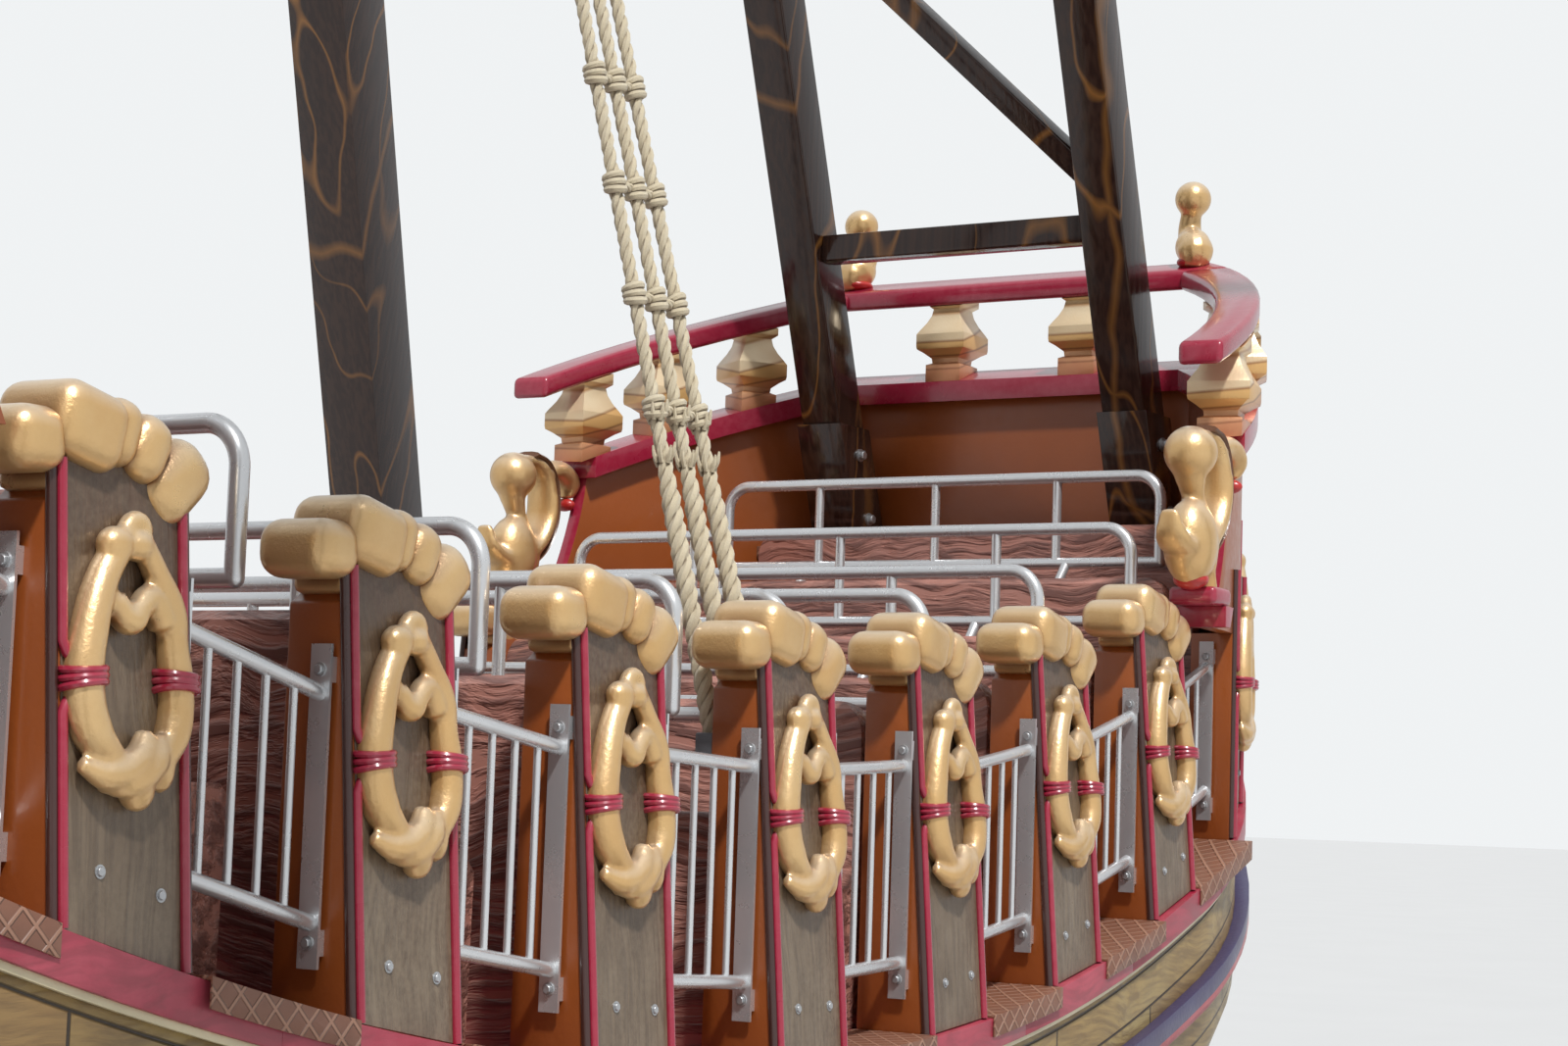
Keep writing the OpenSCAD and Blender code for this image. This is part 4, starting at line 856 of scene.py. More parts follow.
def brown_finish(c):
    """Near black brown with long streaks of gold, drawn along the beams."""
    f = Finish("dark_brown", Coat_Weight=0.35, Coat_Roughness=0.10, Specular_IOR_Level=0.3)
    patches, _ = f.mottle(0.7)
    wide = f.use("Grain", Stretch=(1.3, 1.3, 0.16), Wander=0.22, Fine=0.0)
    fine = f.use("Grain", Stretch=(14.0, 14.0, 0.25), Wander=0.05, Fine=1.0)["Lines"]
    base = f.mix(fine, c.brown, c.brown_grain, 0.8)
    streaks = f.times(f.thread(wide["Lines"], 0.5, 11.0), f.times(patches, 0.9))
    more = f.times(f.thread(wide["Tone"], 0.45, 30.0), 0.45)
    f.paint(f.mix(f.math("MAXIMUM", streaks, more), base, c.streak))
    f.rough(fine, 0.12, 0.24)
    f.relief(fine, 0.0003)


def bench_finish(c):
    """Red brown benches with a deep moulded grain."""
    f = Finish("bench_grain", Coat_Weight=0.45, Coat_Roughness=0.2)
    patches, _ = f.mottle(2.4)
    grain = f.use("Grain", Stretch=(9.0, 0.8, 11.0), Wander=0.30)
    base = f.mix(grain["Tone"], c.bench, c.bench_light)
    lined = f.mix(grain["Lines"], base, c.bench_dark, 0.74)
    f.paint(f.mix(patches, lined, c.bench_worn, 0.18))
    f.rough(grain["Lines"], 0.22, 0.45)
    f.relief(grain["Lines"], 0.008, 0.9)


def plank_finish(c):
    """Worn planking that follows the sheer."""
    f = Finish("planks", Coat_Weight=0.2, Coat_Roughness=0.35)
    patches, _ = f.mottle(1.8)
    planks = f.use("Sheer", Plank=PLANK)
    grain = f.use("Grain", Stretch=(0.9, 11.0, 14.0), Wander=0.25)["Lines"]
    toned = f.mix(planks["Tone"], c.plank, c.plank_dark, 0.75)
    patched = f.mix(patches, toned, c.plank_patch, 0.55)
    lined = f.mix(grain, patched, c.plank_grain, 0.55)
    f.paint(f.mix(planks["Seam"], lined, c.seam))
    f.rough(patches, 0.32, 0.58)
    f.relief(f.math("SUBTRACT", f.times(grain, 0.15), planks["Seam"]), 0.008)


def wale_finish(c):
    """Cream line, dark blue wale and red line, told apart by their height below the deck."""
    f = Finish("wales", Coat_Weight=0.3, Coat_Roughness=0.25)
    height = f.use("Sheer")["Height"]
    patches, specks = f.mottle(3.0)
    upper = f.mix(f.math("GREATER_THAN", height, WALE_TOP), c.wale, c.cream)
    banded = f.mix(f.math("GREATER_THAN", height, WALE_FOOT), c.red_line, upper)
    f.paint(f.mix(patches, banded, c.wale_dirt, 0.3))
    f.rough(patches, 0.28, 0.5)
    f.relief(specks, 0.0006)


def tread_finish(c):
    """Brown plate with a raised pattern, paler on the pattern."""
    f = Finish("raised_plate", Coat_Weight=0.15, Coat_Roughness=0.3)
    raised = f.use("Tread", Pitch=13.0)["Raised"]
    patches, _ = f.mottle(4.0)
    f.paint(f.mix(raised, f.mix(patches, c.tread, c.tread_dark, 0.6), c.tread_pale_ridges, 0.62))
    f.rough(patches, 0.35, 0.6)
    f.relief(raised, 0.006)


def rope_finish(c):
    """Hemp with fine fibres, with painted shade between the strands."""
    f = Finish("hemp", Sheen_Weight=0.3, Roughness=0.85)
    patches, _ = f.mottle(9.0)
    fibre = f.use("Grain", Stretch=(160.0, 160.0, 60.0), Wander=0.05)["Lines"]
    base = f.mix(fibre, c.hemp, c.hemp_fibre, 0.4)
    worn = f.mix(patches, base, c.hemp_worn, 0.3)
    # Painted shade: the hemp darkened between its strands
    f.paint(f.mix(f.crease_shade(0.012, 0.3, 0.9), worn, c.hemp_crease_shade, 0.9))
    f.relief(fibre, 0.0009)


def shaded(tint, share):
    """A darker copy of a colour."""
    return [share * value for value in tint[:3]] + [1]


def steel_finish(name, tint, low, high):
    """Bare or plated steel with faint patches."""
    f = Finish(name, Metallic=0.72)
    patches, _ = f.mottle(5.0)
    f.paint(f.mix(patches, tint, shaded(tint, 0.84), 0.25))
    f.rough(patches, low, high)


def paint_finish(name, tint, low, high, coat):
    """Plain paint or rubber with faint patches."""
    f = Finish(name, Coat_Weight=coat, Coat_Roughness=0.3)
    patches, specks = f.mottle(4.0)
    f.paint(f.mix(patches, tint, shaded(tint, 0.6), 0.45))
    f.rough(patches, low, high)
    f.relief(specks, 0.0006)


class SHIP_OT_finishes(bpy.types.Operator):
    """Build the shader groups and the materials"""

    bl_idname = "ship.finishes"
    bl_label = "Finishes"

    def execute(self, context):
        for build in (mottle_group, grain_group, crease_shade_group, sheer_group, tread_group):
            build()
        c = colours()
        for build in (gold_finish, baluster_finish, crimson_finish, deck_finish, grey_finish,
                      orange_finish, brown_finish, bench_finish, plank_finish, wale_finish,
                      tread_finish, rope_finish):
            build(c)
        steel_finish("satin_steel", c.steel, 0.22, 0.34)
        steel_finish("zinc", c.zinc, 0.28, 0.45)
        steel_finish("machined", c.machined, 0.22, 0.40)
        paint_finish("grey_paint", c.grey_paint, 0.35, 0.55, 0.2)
        paint_finish("rubber", c.rubber, 0.6, 0.85, 0.0)
        paint_finish("piping_brown", c.piping_brown, 0.25, 0.4, 0.5)
        paint_finish("edge_brown", c.edge_brown, 0.25, 0.4, 0.4)
        paint_finish("red_touch", c.red_touch, 0.25, 0.4, 0.5)
        return {"FINISHED"}



# Pieces


class SHIP_OT_towers(bpy.types.Operator):
    """Finish the towers, the axle and the tyre drive"""

    bl_idname = "ship.towers"
    bl_label = "Towers and drive"

    def execute(self, context):
        for node in ("leg_port_bow", "leg_port_stern", "leg_stbd_bow", "leg_stbd_stern",
                     "ground_frame"):
            dressed(node, "dark_brown", 0.012, 2)
        dressed("tower_heads", "dark_brown", 0.015, 2)
        dressed("axle", "machined", 0.008, 2)
        dressed("drive_frame", "grey_paint", 0.004, 2)
        dressed("drive_wheel", "rubber", 0.006, 2)
        return {"FINISHED"}


class SHIP_OT_hull(bpy.types.Operator):
    """Finish the hull, its wales, the deck and the drive rail"""

    bl_idname = "ship.hull"
    bl_label = "Hull and deck"

    def execute(self, context):
        dressed("hull", "planks", 0.02, 2, 30)
        dressed("wales", "wales", 0.004, 2, 50)
        dressed("keel_rail", "grey_paint", 0.004)
        dressed("deck", "deck_crimson", 0.012, 3, 50)
        dressed("entry_treads", "raised_plate", 0.003, 2, 50)
        return {"FINISHED"}


class SHIP_OT_pillars(bpy.types.Operator):
    """Finish the pillars and give them panels, piping and bolts"""

    bl_idname = "ship.pillars"
    bl_label = "Pillars"

    def panel(self, x, half, top):
        """Thin weathered panel between the piping, following the deck at its foot."""
        thick = detail().panel
        piece = block((-half + 0.022, -thick, 0), (half - 0.022, 0.01, top), 0.0015, 1)
        for vertex in piece.data.vertices:
            if vertex.co.z < top / 2:
                vertex.co.z += sheer(x + vertex.co.x) - sheer(x) + 0.003
        return piece

    def edge(self, x, side, half, top, knot):
        """Crimson and brown piping along one edge, the crimson drawn in to the lashing."""
        d = detail()
        u = side * (half - 0.02)
        foot = sheer(x + u) - sheer(x) + 0.004
        lift = -d.panel - d.piping * 0.4
        bends = ((u, 0, 0.075), (u - side * 0.010, 0.002, 0.052),
                 (u - side * 0.022, 0.007, 0.036), (side * 0.150, 0.014, 0.024))
        reds = []
        for end, way in ((foot, -1), (top, 1)):
            line = [(v, lift - out, knot + way * off) for v, out, off in bends]
            reds.append(swept([(u, lift, end)] + line, [d.piping] * 5, 3, 1, "VECTOR"))
        v = side * (half - 0.003)
        brown = roll((v, 0.004, foot), (v, 0.004, top), d.piping * 1.05, 0, 14)
        return joined(reds, "red"), brown

    def execute(self, context):
        s, d = sizes(), detail()
        for node in ("pillars_port", "pillars_stbd"):
            dressed(node, "orange_brown", 0.006, 2, 50)
        stands = []
        for i in PILLARS:
            x, fall = i * s.pitch, s.cap_fall * i * i
            stands.append((x, at_pillar(x), s.cap_level + PANEL_ABOVE_CAP_LEVEL - fall,
                           s.wreath_mid - KNOT_BELOW_WREATH - fall))
        for x in CASTLE_PANELS:
            stands.append((x, at_wall(x), CASTLE_PANEL_TOP, CASTLE_WREATH - KNOT_BELOW_WREATH))
        panels, reds, browns, bolts = [], [], [], []
        bolt = bolt_head(d.bolt * 0.8, 0.008)
        for x, place, top, knot in stands:
            panels.append(moved(self.panel(x, s.pillar_w / 2, top), place))
            for side in SIDES:
                red, brown = self.edge(x, side, s.pillar_w / 2, top, knot)
                reds.append(moved(red, place))
                browns.append(moved(brown, place))
            for u in PANEL_BOLTS:
                level = PANEL_BOLT_LEVEL + sheer(x + u) - sheer(x)
                bolts.append(copied(bolt, place @ facing((u, -d.panel, level), (0, -1, 0))))
        removed(bolt)
        for name, pieces, finish, slot in (
                ("panels", panels, "weathered", "grey_wood"),
                ("piping", reds, "crimson", "crimson_paint"),
                ("beading", browns, "piping_brown", "brown_steel"),
                ("panel_bolts", bolts, "zinc", "stainless")):
            both_sides(smooth(joined(pieces, name + "_port")), name, "", finish)
        return {"FINISHED"}


# Rolls of a cap: place along the ship, height above the cap level, half width, half height,
# reach in front, tilt in degrees, rounding
ROLLS = ((-0.245, 0.096, 0.078, 0.070, 0.000, 0, 0.056),
         (-0.112, 0.136, 0.104, 0.086, 0.014, 13, 0.056),
         (-0.016, 0.134, 0.054, 0.076, 0.006, 14, 0.050),
         (0.066, 0.108, 0.060, 0.078, 0.010, 24, 0.055),
         (0.170, 0.046, 0.080, 0.106, 0.004, 46, 0.070))


class SHIP_OT_caps(bpy.types.Operator):
    """Mould the rolled caps of the pillars"""

    bl_idname = "ship.caps"
    bl_label = "Caps"

    def cap(self):
        """Rolls side by side across a pillar's head, over a block that fills them."""
        s = sizes()
        level = s.cap_level
        out, back = level * math.tan(s.tumble) - 0.034, s.pillar_d + 0.026
        pieces = [block((-0.195, out + 0.045, level - 0.004),
                        (0.195, back - 0.020, level + 0.095), 0.02)]
        for x, z, half, rise, reach, tilt, edge in ROLLS:
            bar = block((-half, out - reach, -rise), (half, back, rise), edge, 6)
            turn = Matrix.Rotation(math.radians(tilt), 4, "Y")
            pieces.append(moved(bar, Matrix.Translation((x, 0, level + z)) @ turn))
        return smooth(joined(pieces, "cap"), 50)

    def execute(self, context):
        s = sizes()
        places = []
        for i in PILLARS:
            x, fall = i * s.pitch, s.cap_fall * i * i
            y = -half_width(x) - fall * math.tan(s.tumble)
            places.append(Matrix.Translation((x, y, sheer(x) - fall)))
        port = repeated(self.cap(), places, "caps_port_moulding")
        both_sides(port, "caps", "_moulding", "gold", True)
        return {"FINISHED"}


class SHIP_OT_wreaths(bpy.types.Operator):
    """Mould the draped wreaths and tie them to their panels"""

    bl_idname = "ship.wreaths"
    bl_label = "Wreaths"

    def wreath(self):
        y = -0.026
        tubes = (
            ((-0.035, 0, 0.235, 0.034), (-0.085, 0, 0.160, 0.037), (-0.122, 0, 0.050, 0.042),
             (-0.137, 0, -0.050, 0.044), (-0.118, 0, -0.150, 0.046), (-0.060, 0, -0.215, 0.036)),
            ((0.020, 0.006, 0.262, 0.026), (0.070, 0.004, 0.190, 0.029), (0.128, 0, 0.100, 0.032),
             (0.126, 0, 0.040, 0.036), (0.137, 0, -0.050, 0.040), (0.126, 0, -0.150, 0.041),
             (0.085, 0, -0.215, 0.034)),
            ((-0.052, 0, 0.120, 0.030), (-0.010, 0.008, 0.078, 0.032), (0.018, 0.008, 0.105, 0.028),
             (0.060, 0, 0.130, 0.032), (0.098, 0, 0.075, 0.034)),
            ((-0.012, 0, 0.230, 0.026), (-0.008, 0, 0.275, 0.024), (0.022, 0, 0.292, 0.025),
             (0.040, 0, 0.262, 0.026)),
            ((-0.150, 0, -0.225, 0.016), (-0.080, 0.014, -0.248, 0.034),
             (0.000, 0.016, -0.215, 0.036), (0.040, 0.006, -0.160, 0.026)),
            ((-0.090, 0, -0.262, 0.020), (-0.020, 0.014, -0.262, 0.034),
             (0.050, 0.014, -0.215, 0.036), (0.078, 0.004, -0.165, 0.024)))
        pieces = [swept([(x, y - out, z) for x, out, z, _ in tube],
                        [radius for *_, radius in tube], 4, 8) for tube in tubes]
        pieces += [ball((-0.050, y - 0.004, 0.236), (0.045, 0.036, 0.042)),
                   ball((0.012, y - 0.008, 0.238), (0.036, 0.034, 0.034)),
                   ball((0.012, y - 0.002, -0.270), (0.046, 0.036, 0.052)),
                   ball((0.085, y, -0.225), (0.036, 0.032, 0.056))]
        return blended(pieces, detail().wreath_grid, "wreath", 2)

    def lashing(self, side):
        """Three turns of cord round one side of a wreath."""
        cord = detail().lashing
        turns = []
        for turn in (-1, 0, 1):
            place = (side * WREATH_SIDE, -0.024, turn * cord * 2.0 - KNOT_BELOW_WREATH)
            lean = (math.radians(6 * turn), math.radians(side * 5), 0)
            turns.append(ring(0.047, cord, place, lean, 28))
        return joined(turns, "lashing")

    def execute(self, context):
        s = sizes()
        places = [at_pillar(i * s.pitch) @ raised(s.wreath_mid - s.cap_fall * i * i)
                  for i in PILLARS]
        places += [at_wall(x) @ raised(CASTLE_WREATH) for x in CASTLE_PANELS]
        lashing = smooth(joined([self.lashing(side) for side in SIDES], "lashing"))
        for piece, name, finish, slot in ((self.wreath(), "wreaths", "gold", "gold_paint"),
                                          (lashing, "lashings", "crimson", "crimson_paint")):
            port = repeated(piece, places, name + "_port_moulding")
            both_sides(port, name, "_moulding", finish, name == "wreaths")
        return {"FINISHED"}


class SHIP_OT_seating(bpy.types.Operator):
    """Finish the benches, the centre console, the lap bars and the guard grilles"""

    bl_idname = "ship.seating"
    bl_label = "Seating"

    def execute(self, context):
        for node in ("seats_stern", "seats_bow", "centre_console"):
            dressed(node, "bench_grain", 0.018, 3, 50)
        for k in range(1, 11):
            dressed(f"lap_bar_{k}", "satin_steel", 0)
        dressed("lap_bar_brackets", "grey_paint", 0.002, 1, 60)
        dressed("guard_grilles", "satin_steel", 0)
        s = sizes()
        gap = (s.pitch - s.pillar_w) / 2
        places = []
        for i in range(-3, 5):
            middle = (i - 0.5) * s.pitch
            y = 0.1 - min(half_width(middle - gap), half_width(middle + gap))
            height = GRILLE_HEIGHT - GRILLE_LOSS * (abs(i - 0.5) - 0.5)
            for side in SIDES:
                x = middle + side * (gap - GRILLE_FLAT)
                level = sheer(x) + GRILLE_LEVEL - GRILLE_FALL * (i - 0.5) ** 2
                places += [facing((x, y, level + way * (height / 2 - 0.06)), (-side, 0, 0))
                           for way in SIDES]
        bolted("grille_bolts", places, 0.9, 0.012)
        return {"FINISHED"}


class SHIP_OT_castles(bpy.types.Operator):
    """Finish the castles with their walls, rails, balusters and scrolls"""

    bl_idname = "ship.castles"
    bl_label = "Castles"

    def wings(self):
        """The castles' walls, crimson along their front edges."""
        s = sizes()
        piece = dressed("castle_wings", "orange_brown", 0.008, 2, 50)
        piece.data.materials.append(bpy.data.materials["crimson"])
        for face in piece.data.polygons:
            share = (face.center.z - s.deck - s.post_top) / (s.wing_z - s.post_top)
            front = wing_front(min(max(share, 0), 1))
            at_edge = -0.03 < share < 1.02 and abs(abs(face.center.x) - front) < 0.03
            if at_edge and abs(face.normal.x) > 0.4:
                face.material_index = 1

    def execute(self, context):
        s = sizes()
        blocks = s.deck + s.post_top
        self.wings()
        dressed("transoms", "orange_brown", 0.006, 2, 50)
        dressed("castle_decks", "raised_plate", 0.003, 2, 50)
        lower = dressed("lower_rails", "crimson", 0.022, 4, 50)
        for vertex in lower.data.vertices:
            if -3.25 < vertex.co.x < -2.9 and vertex.co.z < blocks + 0.1:
                vertex.co.x -= BOW_BLOCK_BACK
        y = 0.03 - half_width(3.06)
        pad = block((2.975, y - 0.098, blocks + 0.0803), (3.15, y + 0.098, blocks + 0.15), 0.022, 4)
        pads = smooth(joined([pad, mirrored(pad)], "scroll_pads"))
        finished(pads, "crimson", "ship")
        dressed("top_rails", "crimson", 0.024, 4, 50)
        dressed("balusters", "baluster_bands", 0.003, 2, 25)
        self.scrolls()
        return {"FINISHED"}

    def wing_scroll(self, y):
        """Scroll before a wing: a broad C with a ball at its head, a lower lobe and a curl."""
        lines = (
            (2.1, (0.06, 0.085, 0.020), (0.165, 0.055, 0.034), (0.228, -0.080, 0.040),
             (0.200, -0.225, 0.042), (0.085, -0.335, 0.042), (-0.060, -0.372, 0.040),
             (-0.165, -0.330, 0.034), (-0.192, -0.235, 0.018)),
            (1.3, (-0.005, -0.085, 0.050), (0.035, -0.170, 0.036), (0.075, -0.270, 0.052)),
            (1.5, (0.185, -0.020, 0.036), (0.262, 0.048, 0.044), (0.350, 0.050, 0.050),
             (0.415, 0.000, 0.046), (0.405, -0.062, 0.024)),
            (1.7, (0.110, -0.330, 0.048), (0.112, -0.450, 0.040), (0.115, -0.577, 0.046)))
        pieces = [ball((0, 0, 0), 0.105, (math.pi / 2, 0, 0)),
                  ball((0.015, 0, -0.345), (0.125, 0.104, 0.170))]
        for wide, *line in lines:
            pieces.append(ribbon(line, wide))
        place = Matrix.Translation((SCROLL_BALL[0], y, SCROLL_BALL[1]))
        skin = moved(blended(pieces, detail().scroll_grid, "wing_scroll", 4), place)
        line = ((0.10, 0.104), (0.200, 0.072), (0.272, -0.075), (0.240, -0.250),
                (0.100, -0.385), (-0.02, -0.42))
        edging = moved(ribbon([(x, z, 0.016) for x, z in line], 4.2, 3), place)
        touches = [ball((0.025, 0, -0.485), (0.062, 0.070, 0.040)),
                   ball((0.400, 0, -0.090), (0.030, 0.052, 0.030))]
        return skin, edging, moved(joined(touches, "touch"), place)

    def corner_scroll(self):
        """Upright scroll with a ball on a corner of the top rail, and a red touch at its foot."""
        s = sizes()
        x = s.end_x - 0.03
        level = wing_top(x) + s.rail_h * 2 + s.baluster_h
        line = ((0, 0.0, 0.060), (-0.020, 0.060, 0.085), (0.045, 0.150, 0.055),
                (0.030, 0.260, 0.045))
        pieces = [ribbon(line, 1), ball((0.005, 0, 0.085), (0.088, 0.080, 0.085)),
                  ball((0.015, 0, 0.305), 0.082, (math.pi / 2, 0, 0))]
        turn = Matrix.Rotation(math.radians(45), 4, "Z")
        place = Matrix.Translation((x, 0.03 - s.end_w, level)) @ turn
        skin = blended(pieces, detail().scroll_grid * 0.7, "corner_scroll", 3)
        return moved(skin, place), moved(ball((0, 0, 0.014), (0.078, 0.074, 0.030)), place)

    def scrolls(self):
        """All scrolls with their brown edges and red touches."""
        scroll, edging, touch = self.wing_scroll(0.03 - half_width(2.86))
        corner, corner_touch = self.corner_scroll()
        across = Matrix.Scale(-1, 4, (1, 0, 0))
        set_back = Matrix.Translation((-BOW_SCROLL_BACK, 0, 0)) @ across
        for name, finish, slot, wing, top in (
                ("scrolls", "gold", "gold_paint", scroll, corner),
                ("scroll_edges", "edge_brown", "brown_steel", edging, None),
                ("red_touches", "red_touch", "crimson_paint", touch, corner_touch)):
            pieces = [wing, copied(wing, set_back)]
            if top:
                pieces += [top, copied(top, across)]
            piece = joined(pieces, name + "_moulding")
            piece = smooth(joined([piece, mirrored(piece)], piece.name), 60)
            finished(piece, finish, "ship", ["scrolls"] if name == "scrolls" else ())


class SHIP_OT_hangers(bpy.types.Operator):
    """Finish the hangers, their feet and ties, and the hub"""

    bl_idname = "ship.hangers"
    bl_label = "Hangers"

    def execute(self, context):
        for node in ("hanger_port_stern", "hanger_stbd_stern", "hanger_port_bow",
                     "hanger_stbd_bow", "crossbars", "braces", "collar_tie", "hub"):
            dressed(node, "dark_brown", 0.010, 3, 50)
        dressed("hanger_feet", "dark_brown", 0.003, 2, 50)
        s = sizes()
        places = []
        for end, side, face, rise in product((BOW, STERN), SIDES, SIDES, HANGER_BOLTS):
            x = end * (s.hanger_x - s.hanger_lean * rise)
            y = side * s.hanger_y + face * HANGER_FACE
            places.append(facing((x, y, s.deck + s.poop + rise), (0, face, 0)))
        bolted("hanger_bolts", places, 1.6, 0.030)
        return {"FINISHED"}


class SHIP_OT_ropes(bpy.types.Operator):
    """Lay the rope ladder"""

    bl_idname = "ship.ropes"
    bl_label = "Ropes"

    def at(self, side, height):
        """Point of a rope at a height above the ropes' foot."""
        s, d = sizes(), detail()
        share = height / (d.rope_head - d.rope_foot)
        foot = s.pillar_d + 0.030 - half_width(0)
        return Vector((side * d.rope_gap * (1 - 0.5 * share), foot * (1 - share) - 0.060 * share,
                       s.deck + d.rope_foot + height))

    def knot(self, side, height, radius):
        """Turns of cord bound round a rope."""
        way = self.at(side, height + 0.1) - self.at(side, height)
        turns = [ring(radius * 1.15, radius * 0.58, (0, 0, turn * radius * 0.95),
                      (math.radians(9 * turn + 6 * side), math.radians(8), 0), 18)
                 for turn in (-1, 0, 1)]
        loop = ball((0, -radius * 0.9, 0), (radius * 0.75, radius * 0.7, radius * 1.5),
                    (0, 0.5, 0), 12)
        return moved(joined(turns + [loop], "knot"), facing(self.at(side, height), way))

    def tufts(self, side, height):
        """Frayed strand ends of a splice."""
        ends = []
        for turn in range(8):
            angle = turn * 2.4
            out = Vector((math.cos(angle), math.sin(angle), 0))
            foot = self.at(side, height + 0.012 * (turn % 3)) + out * detail().rope * 0.9
            bend = foot + out * 0.012 + Vector((0, 0, 0.022))
            tip = foot + out * 0.017 + Vector((0, 0, 0.050))
            ends.append(swept([foot, bend, tip], [0.0085, 0.0070, 0.0030], 1, 2))
        return ends

    def execute(self, context):
        s, d = sizes(), detail()
        rise = d.rope_head - d.rope_foot
        pieces = []

        def swell(share):
            """Thicker below the splice."""
            return 1.0 + 0.38 * min(max((d.splice - share * rise) / 0.12, 0), 1)

        for side in (-1, 0, 1):
            foot, head = self.at(side, 0), self.at(side, rise)
            pieces.append(stranded(foot, head, d.rope, d.rope_lay, 3, swell))
            for height in (d.splice - 0.03, d.splice + 0.10):
                pieces += self.tufts(side, height)
        height = d.rung_start
        while height < rise - d.rung_gap:
            pieces += [self.knot(side, height, d.rope) for side in (-1, 0, 1)]
            for side in (-1, 0):
                pieces.append(stranded(self.at(side, height), self.at(side + 1, height),
                                       d.rope * 0.72, 0.07))
            height += d.rung_gap
        finished(smooth(joined(pieces, "ropes")), "hemp", "ship", ["rope_ladder"])
        foot = s.pillar_d - half_width(0) + 0.0003
        half, level = d.rope_gap + 0.06, s.deck + d.rope_foot
        clamp = block((-half, foot, level - 0.06), (half, foot + 0.06, level + 0.03), 0.006, 2)
        finished(smooth(clamp), "grey_paint", "ship")
        clamp.name = "rope_clamp"
        return {"FINISHED"}


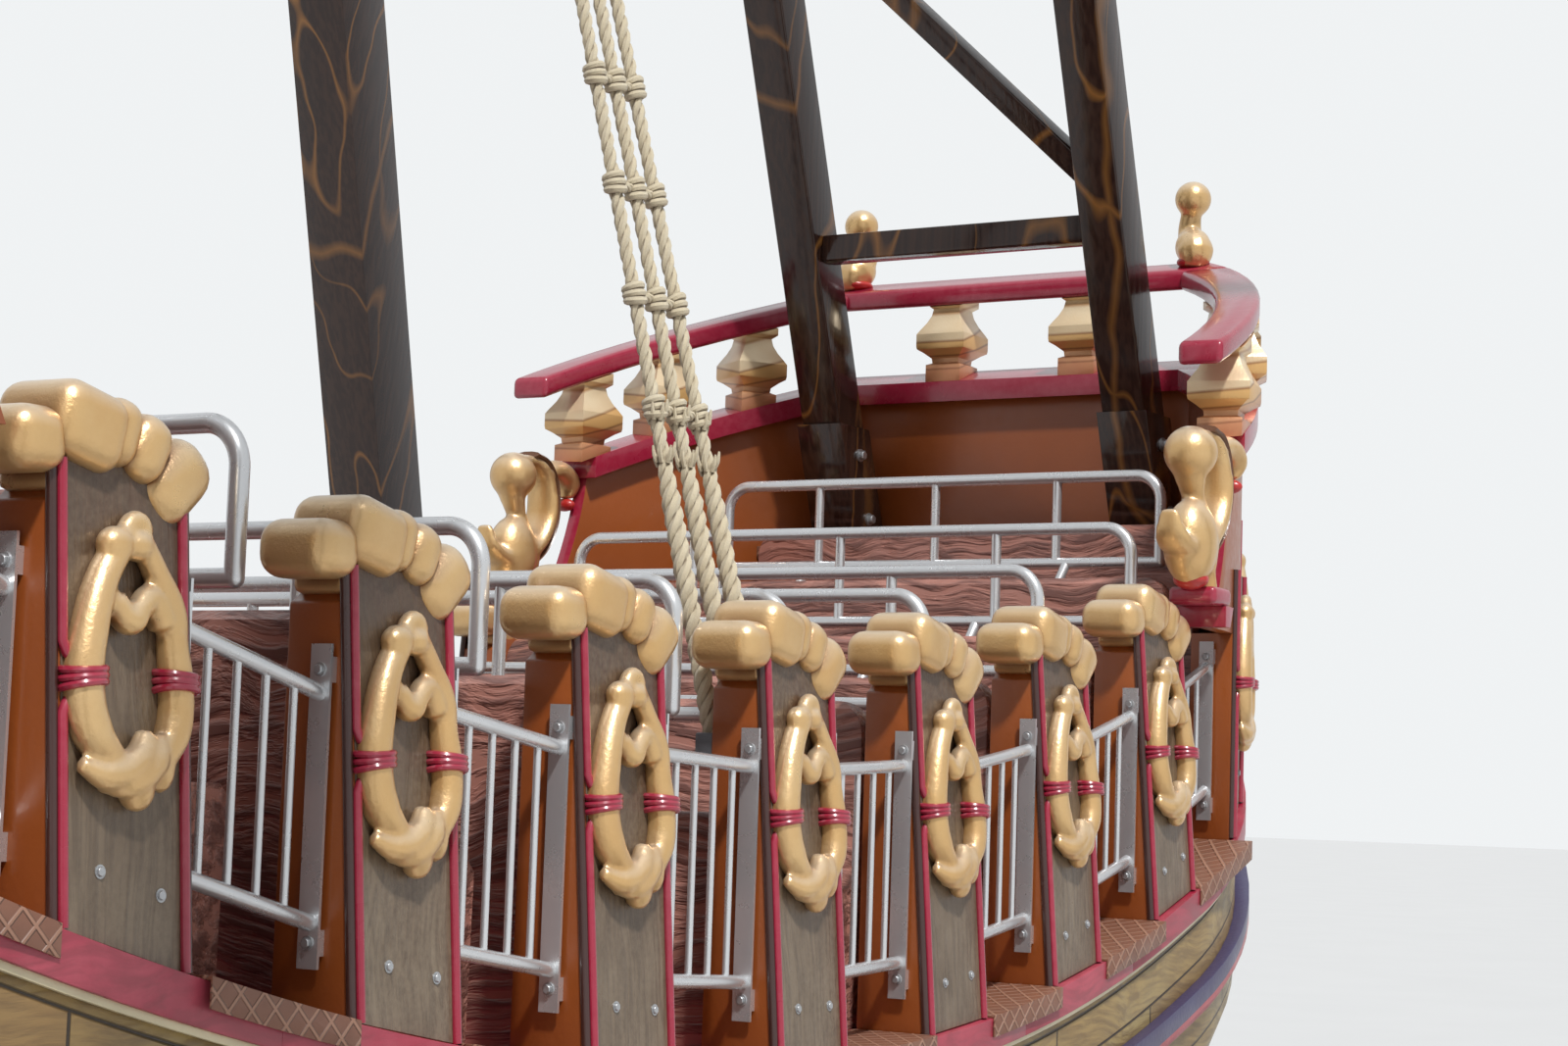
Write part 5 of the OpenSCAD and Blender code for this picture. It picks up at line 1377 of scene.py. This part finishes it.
class SHIP_OT_stage(bpy.types.Operator):
    """Set the floor, the light and the camera"""

    bl_idname = "ship.stage"
    bl_label = "Stage"

    photo_size: bpy.props.IntVectorProperty(
        name="Picture", size=2, default=(1600, 1067), description="Picture in pixels")
    focal_px: bpy.props.FloatProperty(
        name="Focal length", default=2930, description="Focal length in pixels")
    camera: bpy.props.FloatVectorProperty(
        name="Camera", size=3, default=(-7.243, -5.891, 2.526), subtype="TRANSLATION",
        description="Place of the camera")
    heading: turn("Heading", 30.93, "Heading from the ship's stern to starboard")
    pitch: turn("Pitch", 5.28, "Upward tilt")
    bank: turn("Roll", 1.886, "Turn about the view")
    near: size("Near limit", 4.0, "Nearest distance seen, past the leg beside the camera")

    def place_camera(self):
        deselect()
        bpy.ops.object.camera_add(location=self.camera)
        camera = bpy.context.object
        camera.name = "camera"
        camera.data.sensor_width = 36
        camera.data.lens = 36 * self.focal_px / self.photo_size[0]
        camera.data.clip_start = self.near
        camera.data.clip_end = 500
        level = Vector((math.cos(self.heading), math.sin(self.heading), 0))
        ahead = level * math.cos(self.pitch) + Vector((0, 0, math.sin(self.pitch)))
        turn = ahead.to_track_quat("-Z", "Y").to_matrix() @ Matrix.Rotation(self.bank, 3, "Z")
        camera.rotation_euler = turn.to_euler()
        bpy.context.scene.camera = camera

    def place_light(self):
        bpy.ops.object.light_add(type="SUN", location=(-8, -14, 20))
        sun = bpy.context.object
        sun.name = "key"
        sun.data.energy = SUN_POWER
        sun.data.angle = math.radians(5)
        sun.rotation_euler = Vector(SUN_WAY).to_track_quat("-Z", "Y").to_euler()
        world = bpy.data.worlds.new("studio")
        world.use_nodes = True
        g = Graph(world.node_tree)
        light = g.tree.nodes["Background"]
        light.inputs["Color"].default_value = SKY
        light.inputs["Strength"].default_value = SKY_POWER
        seen = g.add("ShaderNodeBackground", {"Color": BACKDROP, "Strength": 1.0})
        path = g.add("ShaderNodeLightPath").outputs
        glossy = g.times(path["Is Glossy Ray"], BACKDROP_IN_GLOSS)
        rays = g.math("MAXIMUM", path["Is Transmission Ray"], glossy)
        rays = g.math("MAXIMUM", path["Is Camera Ray"], rays)
        values = {0: rays, 1: light.outputs[0], 2: seen.outputs[0]}
        choice = g.add("ShaderNodeMixShader", values).outputs[0]
        g.tree.links.new(choice, g.tree.nodes["World Output"].inputs["Surface"])
        bpy.context.scene.world = world

    def place_floor(self):
        bpy.ops.mesh.primitive_plane_add(size=400, location=(0, 0, 0))
        floor = bpy.context.object
        floor.name = "floor"
        f = Finish("floor", Roughness=0.8)
        patches, _ = f.mottle(0.5)
        f.paint(f.mix(patches, (0.66, 0.66, 0.65, 1), (0.68, 0.68, 0.67, 1)))
        floor.data.materials.append(f.material)

    def execute(self, context):
        self.place_camera()
        self.place_light()
        self.place_floor()
        context.scene.view_settings.view_transform = "Standard"
        return {"FINISHED"}


class SHIP_PT_panel(bpy.types.Panel):
    """Lists the pieces of the ship and its sizes"""

    bl_idname = "SHIP_PT_panel"
    bl_label = "Swinging ship"
    bl_space_type = "VIEW_3D"
    bl_region_type = "UI"
    bl_category = "Ship"

    def draw(self, context):
        for operator in STEPS:
            self.layout.operator(operator.bl_idname)
        for values in (sizes(), detail(), colours()):
            for key in values.__annotations__:
                self.layout.prop(values, key)


STEPS = (SHIP_OT_finishes, SHIP_OT_stage, SHIP_OT_towers, SHIP_OT_hull, SHIP_OT_pillars,
         SHIP_OT_caps, SHIP_OT_wreaths, SHIP_OT_seating, SHIP_OT_castles, SHIP_OT_hangers,
         SHIP_OT_ropes)
GROUPS = {"ship_sizes": ShipSizes, "ship_detail": ShipDetail, "ship_colours": ShipColours}


def register():
    for kind in (*GROUPS.values(), *STEPS, SHIP_PT_panel):
        bpy.utils.register_class(kind)
    for name, kind in GROUPS.items():
        setattr(bpy.types.Scene, name, bpy.props.PointerProperty(type=kind))


def unregister():
    for name in GROUPS:
        delattr(bpy.types.Scene, name)
    for kind in (SHIP_PT_panel, *reversed(STEPS), *reversed(GROUPS.values())):
        bpy.utils.unregister_class(kind)


def main():
    register()
    for step in STEPS:
        family, name = step.bl_idname.split(".")
        getattr(getattr(bpy.ops, family), name)()


if __name__ == "__main__":
    main()
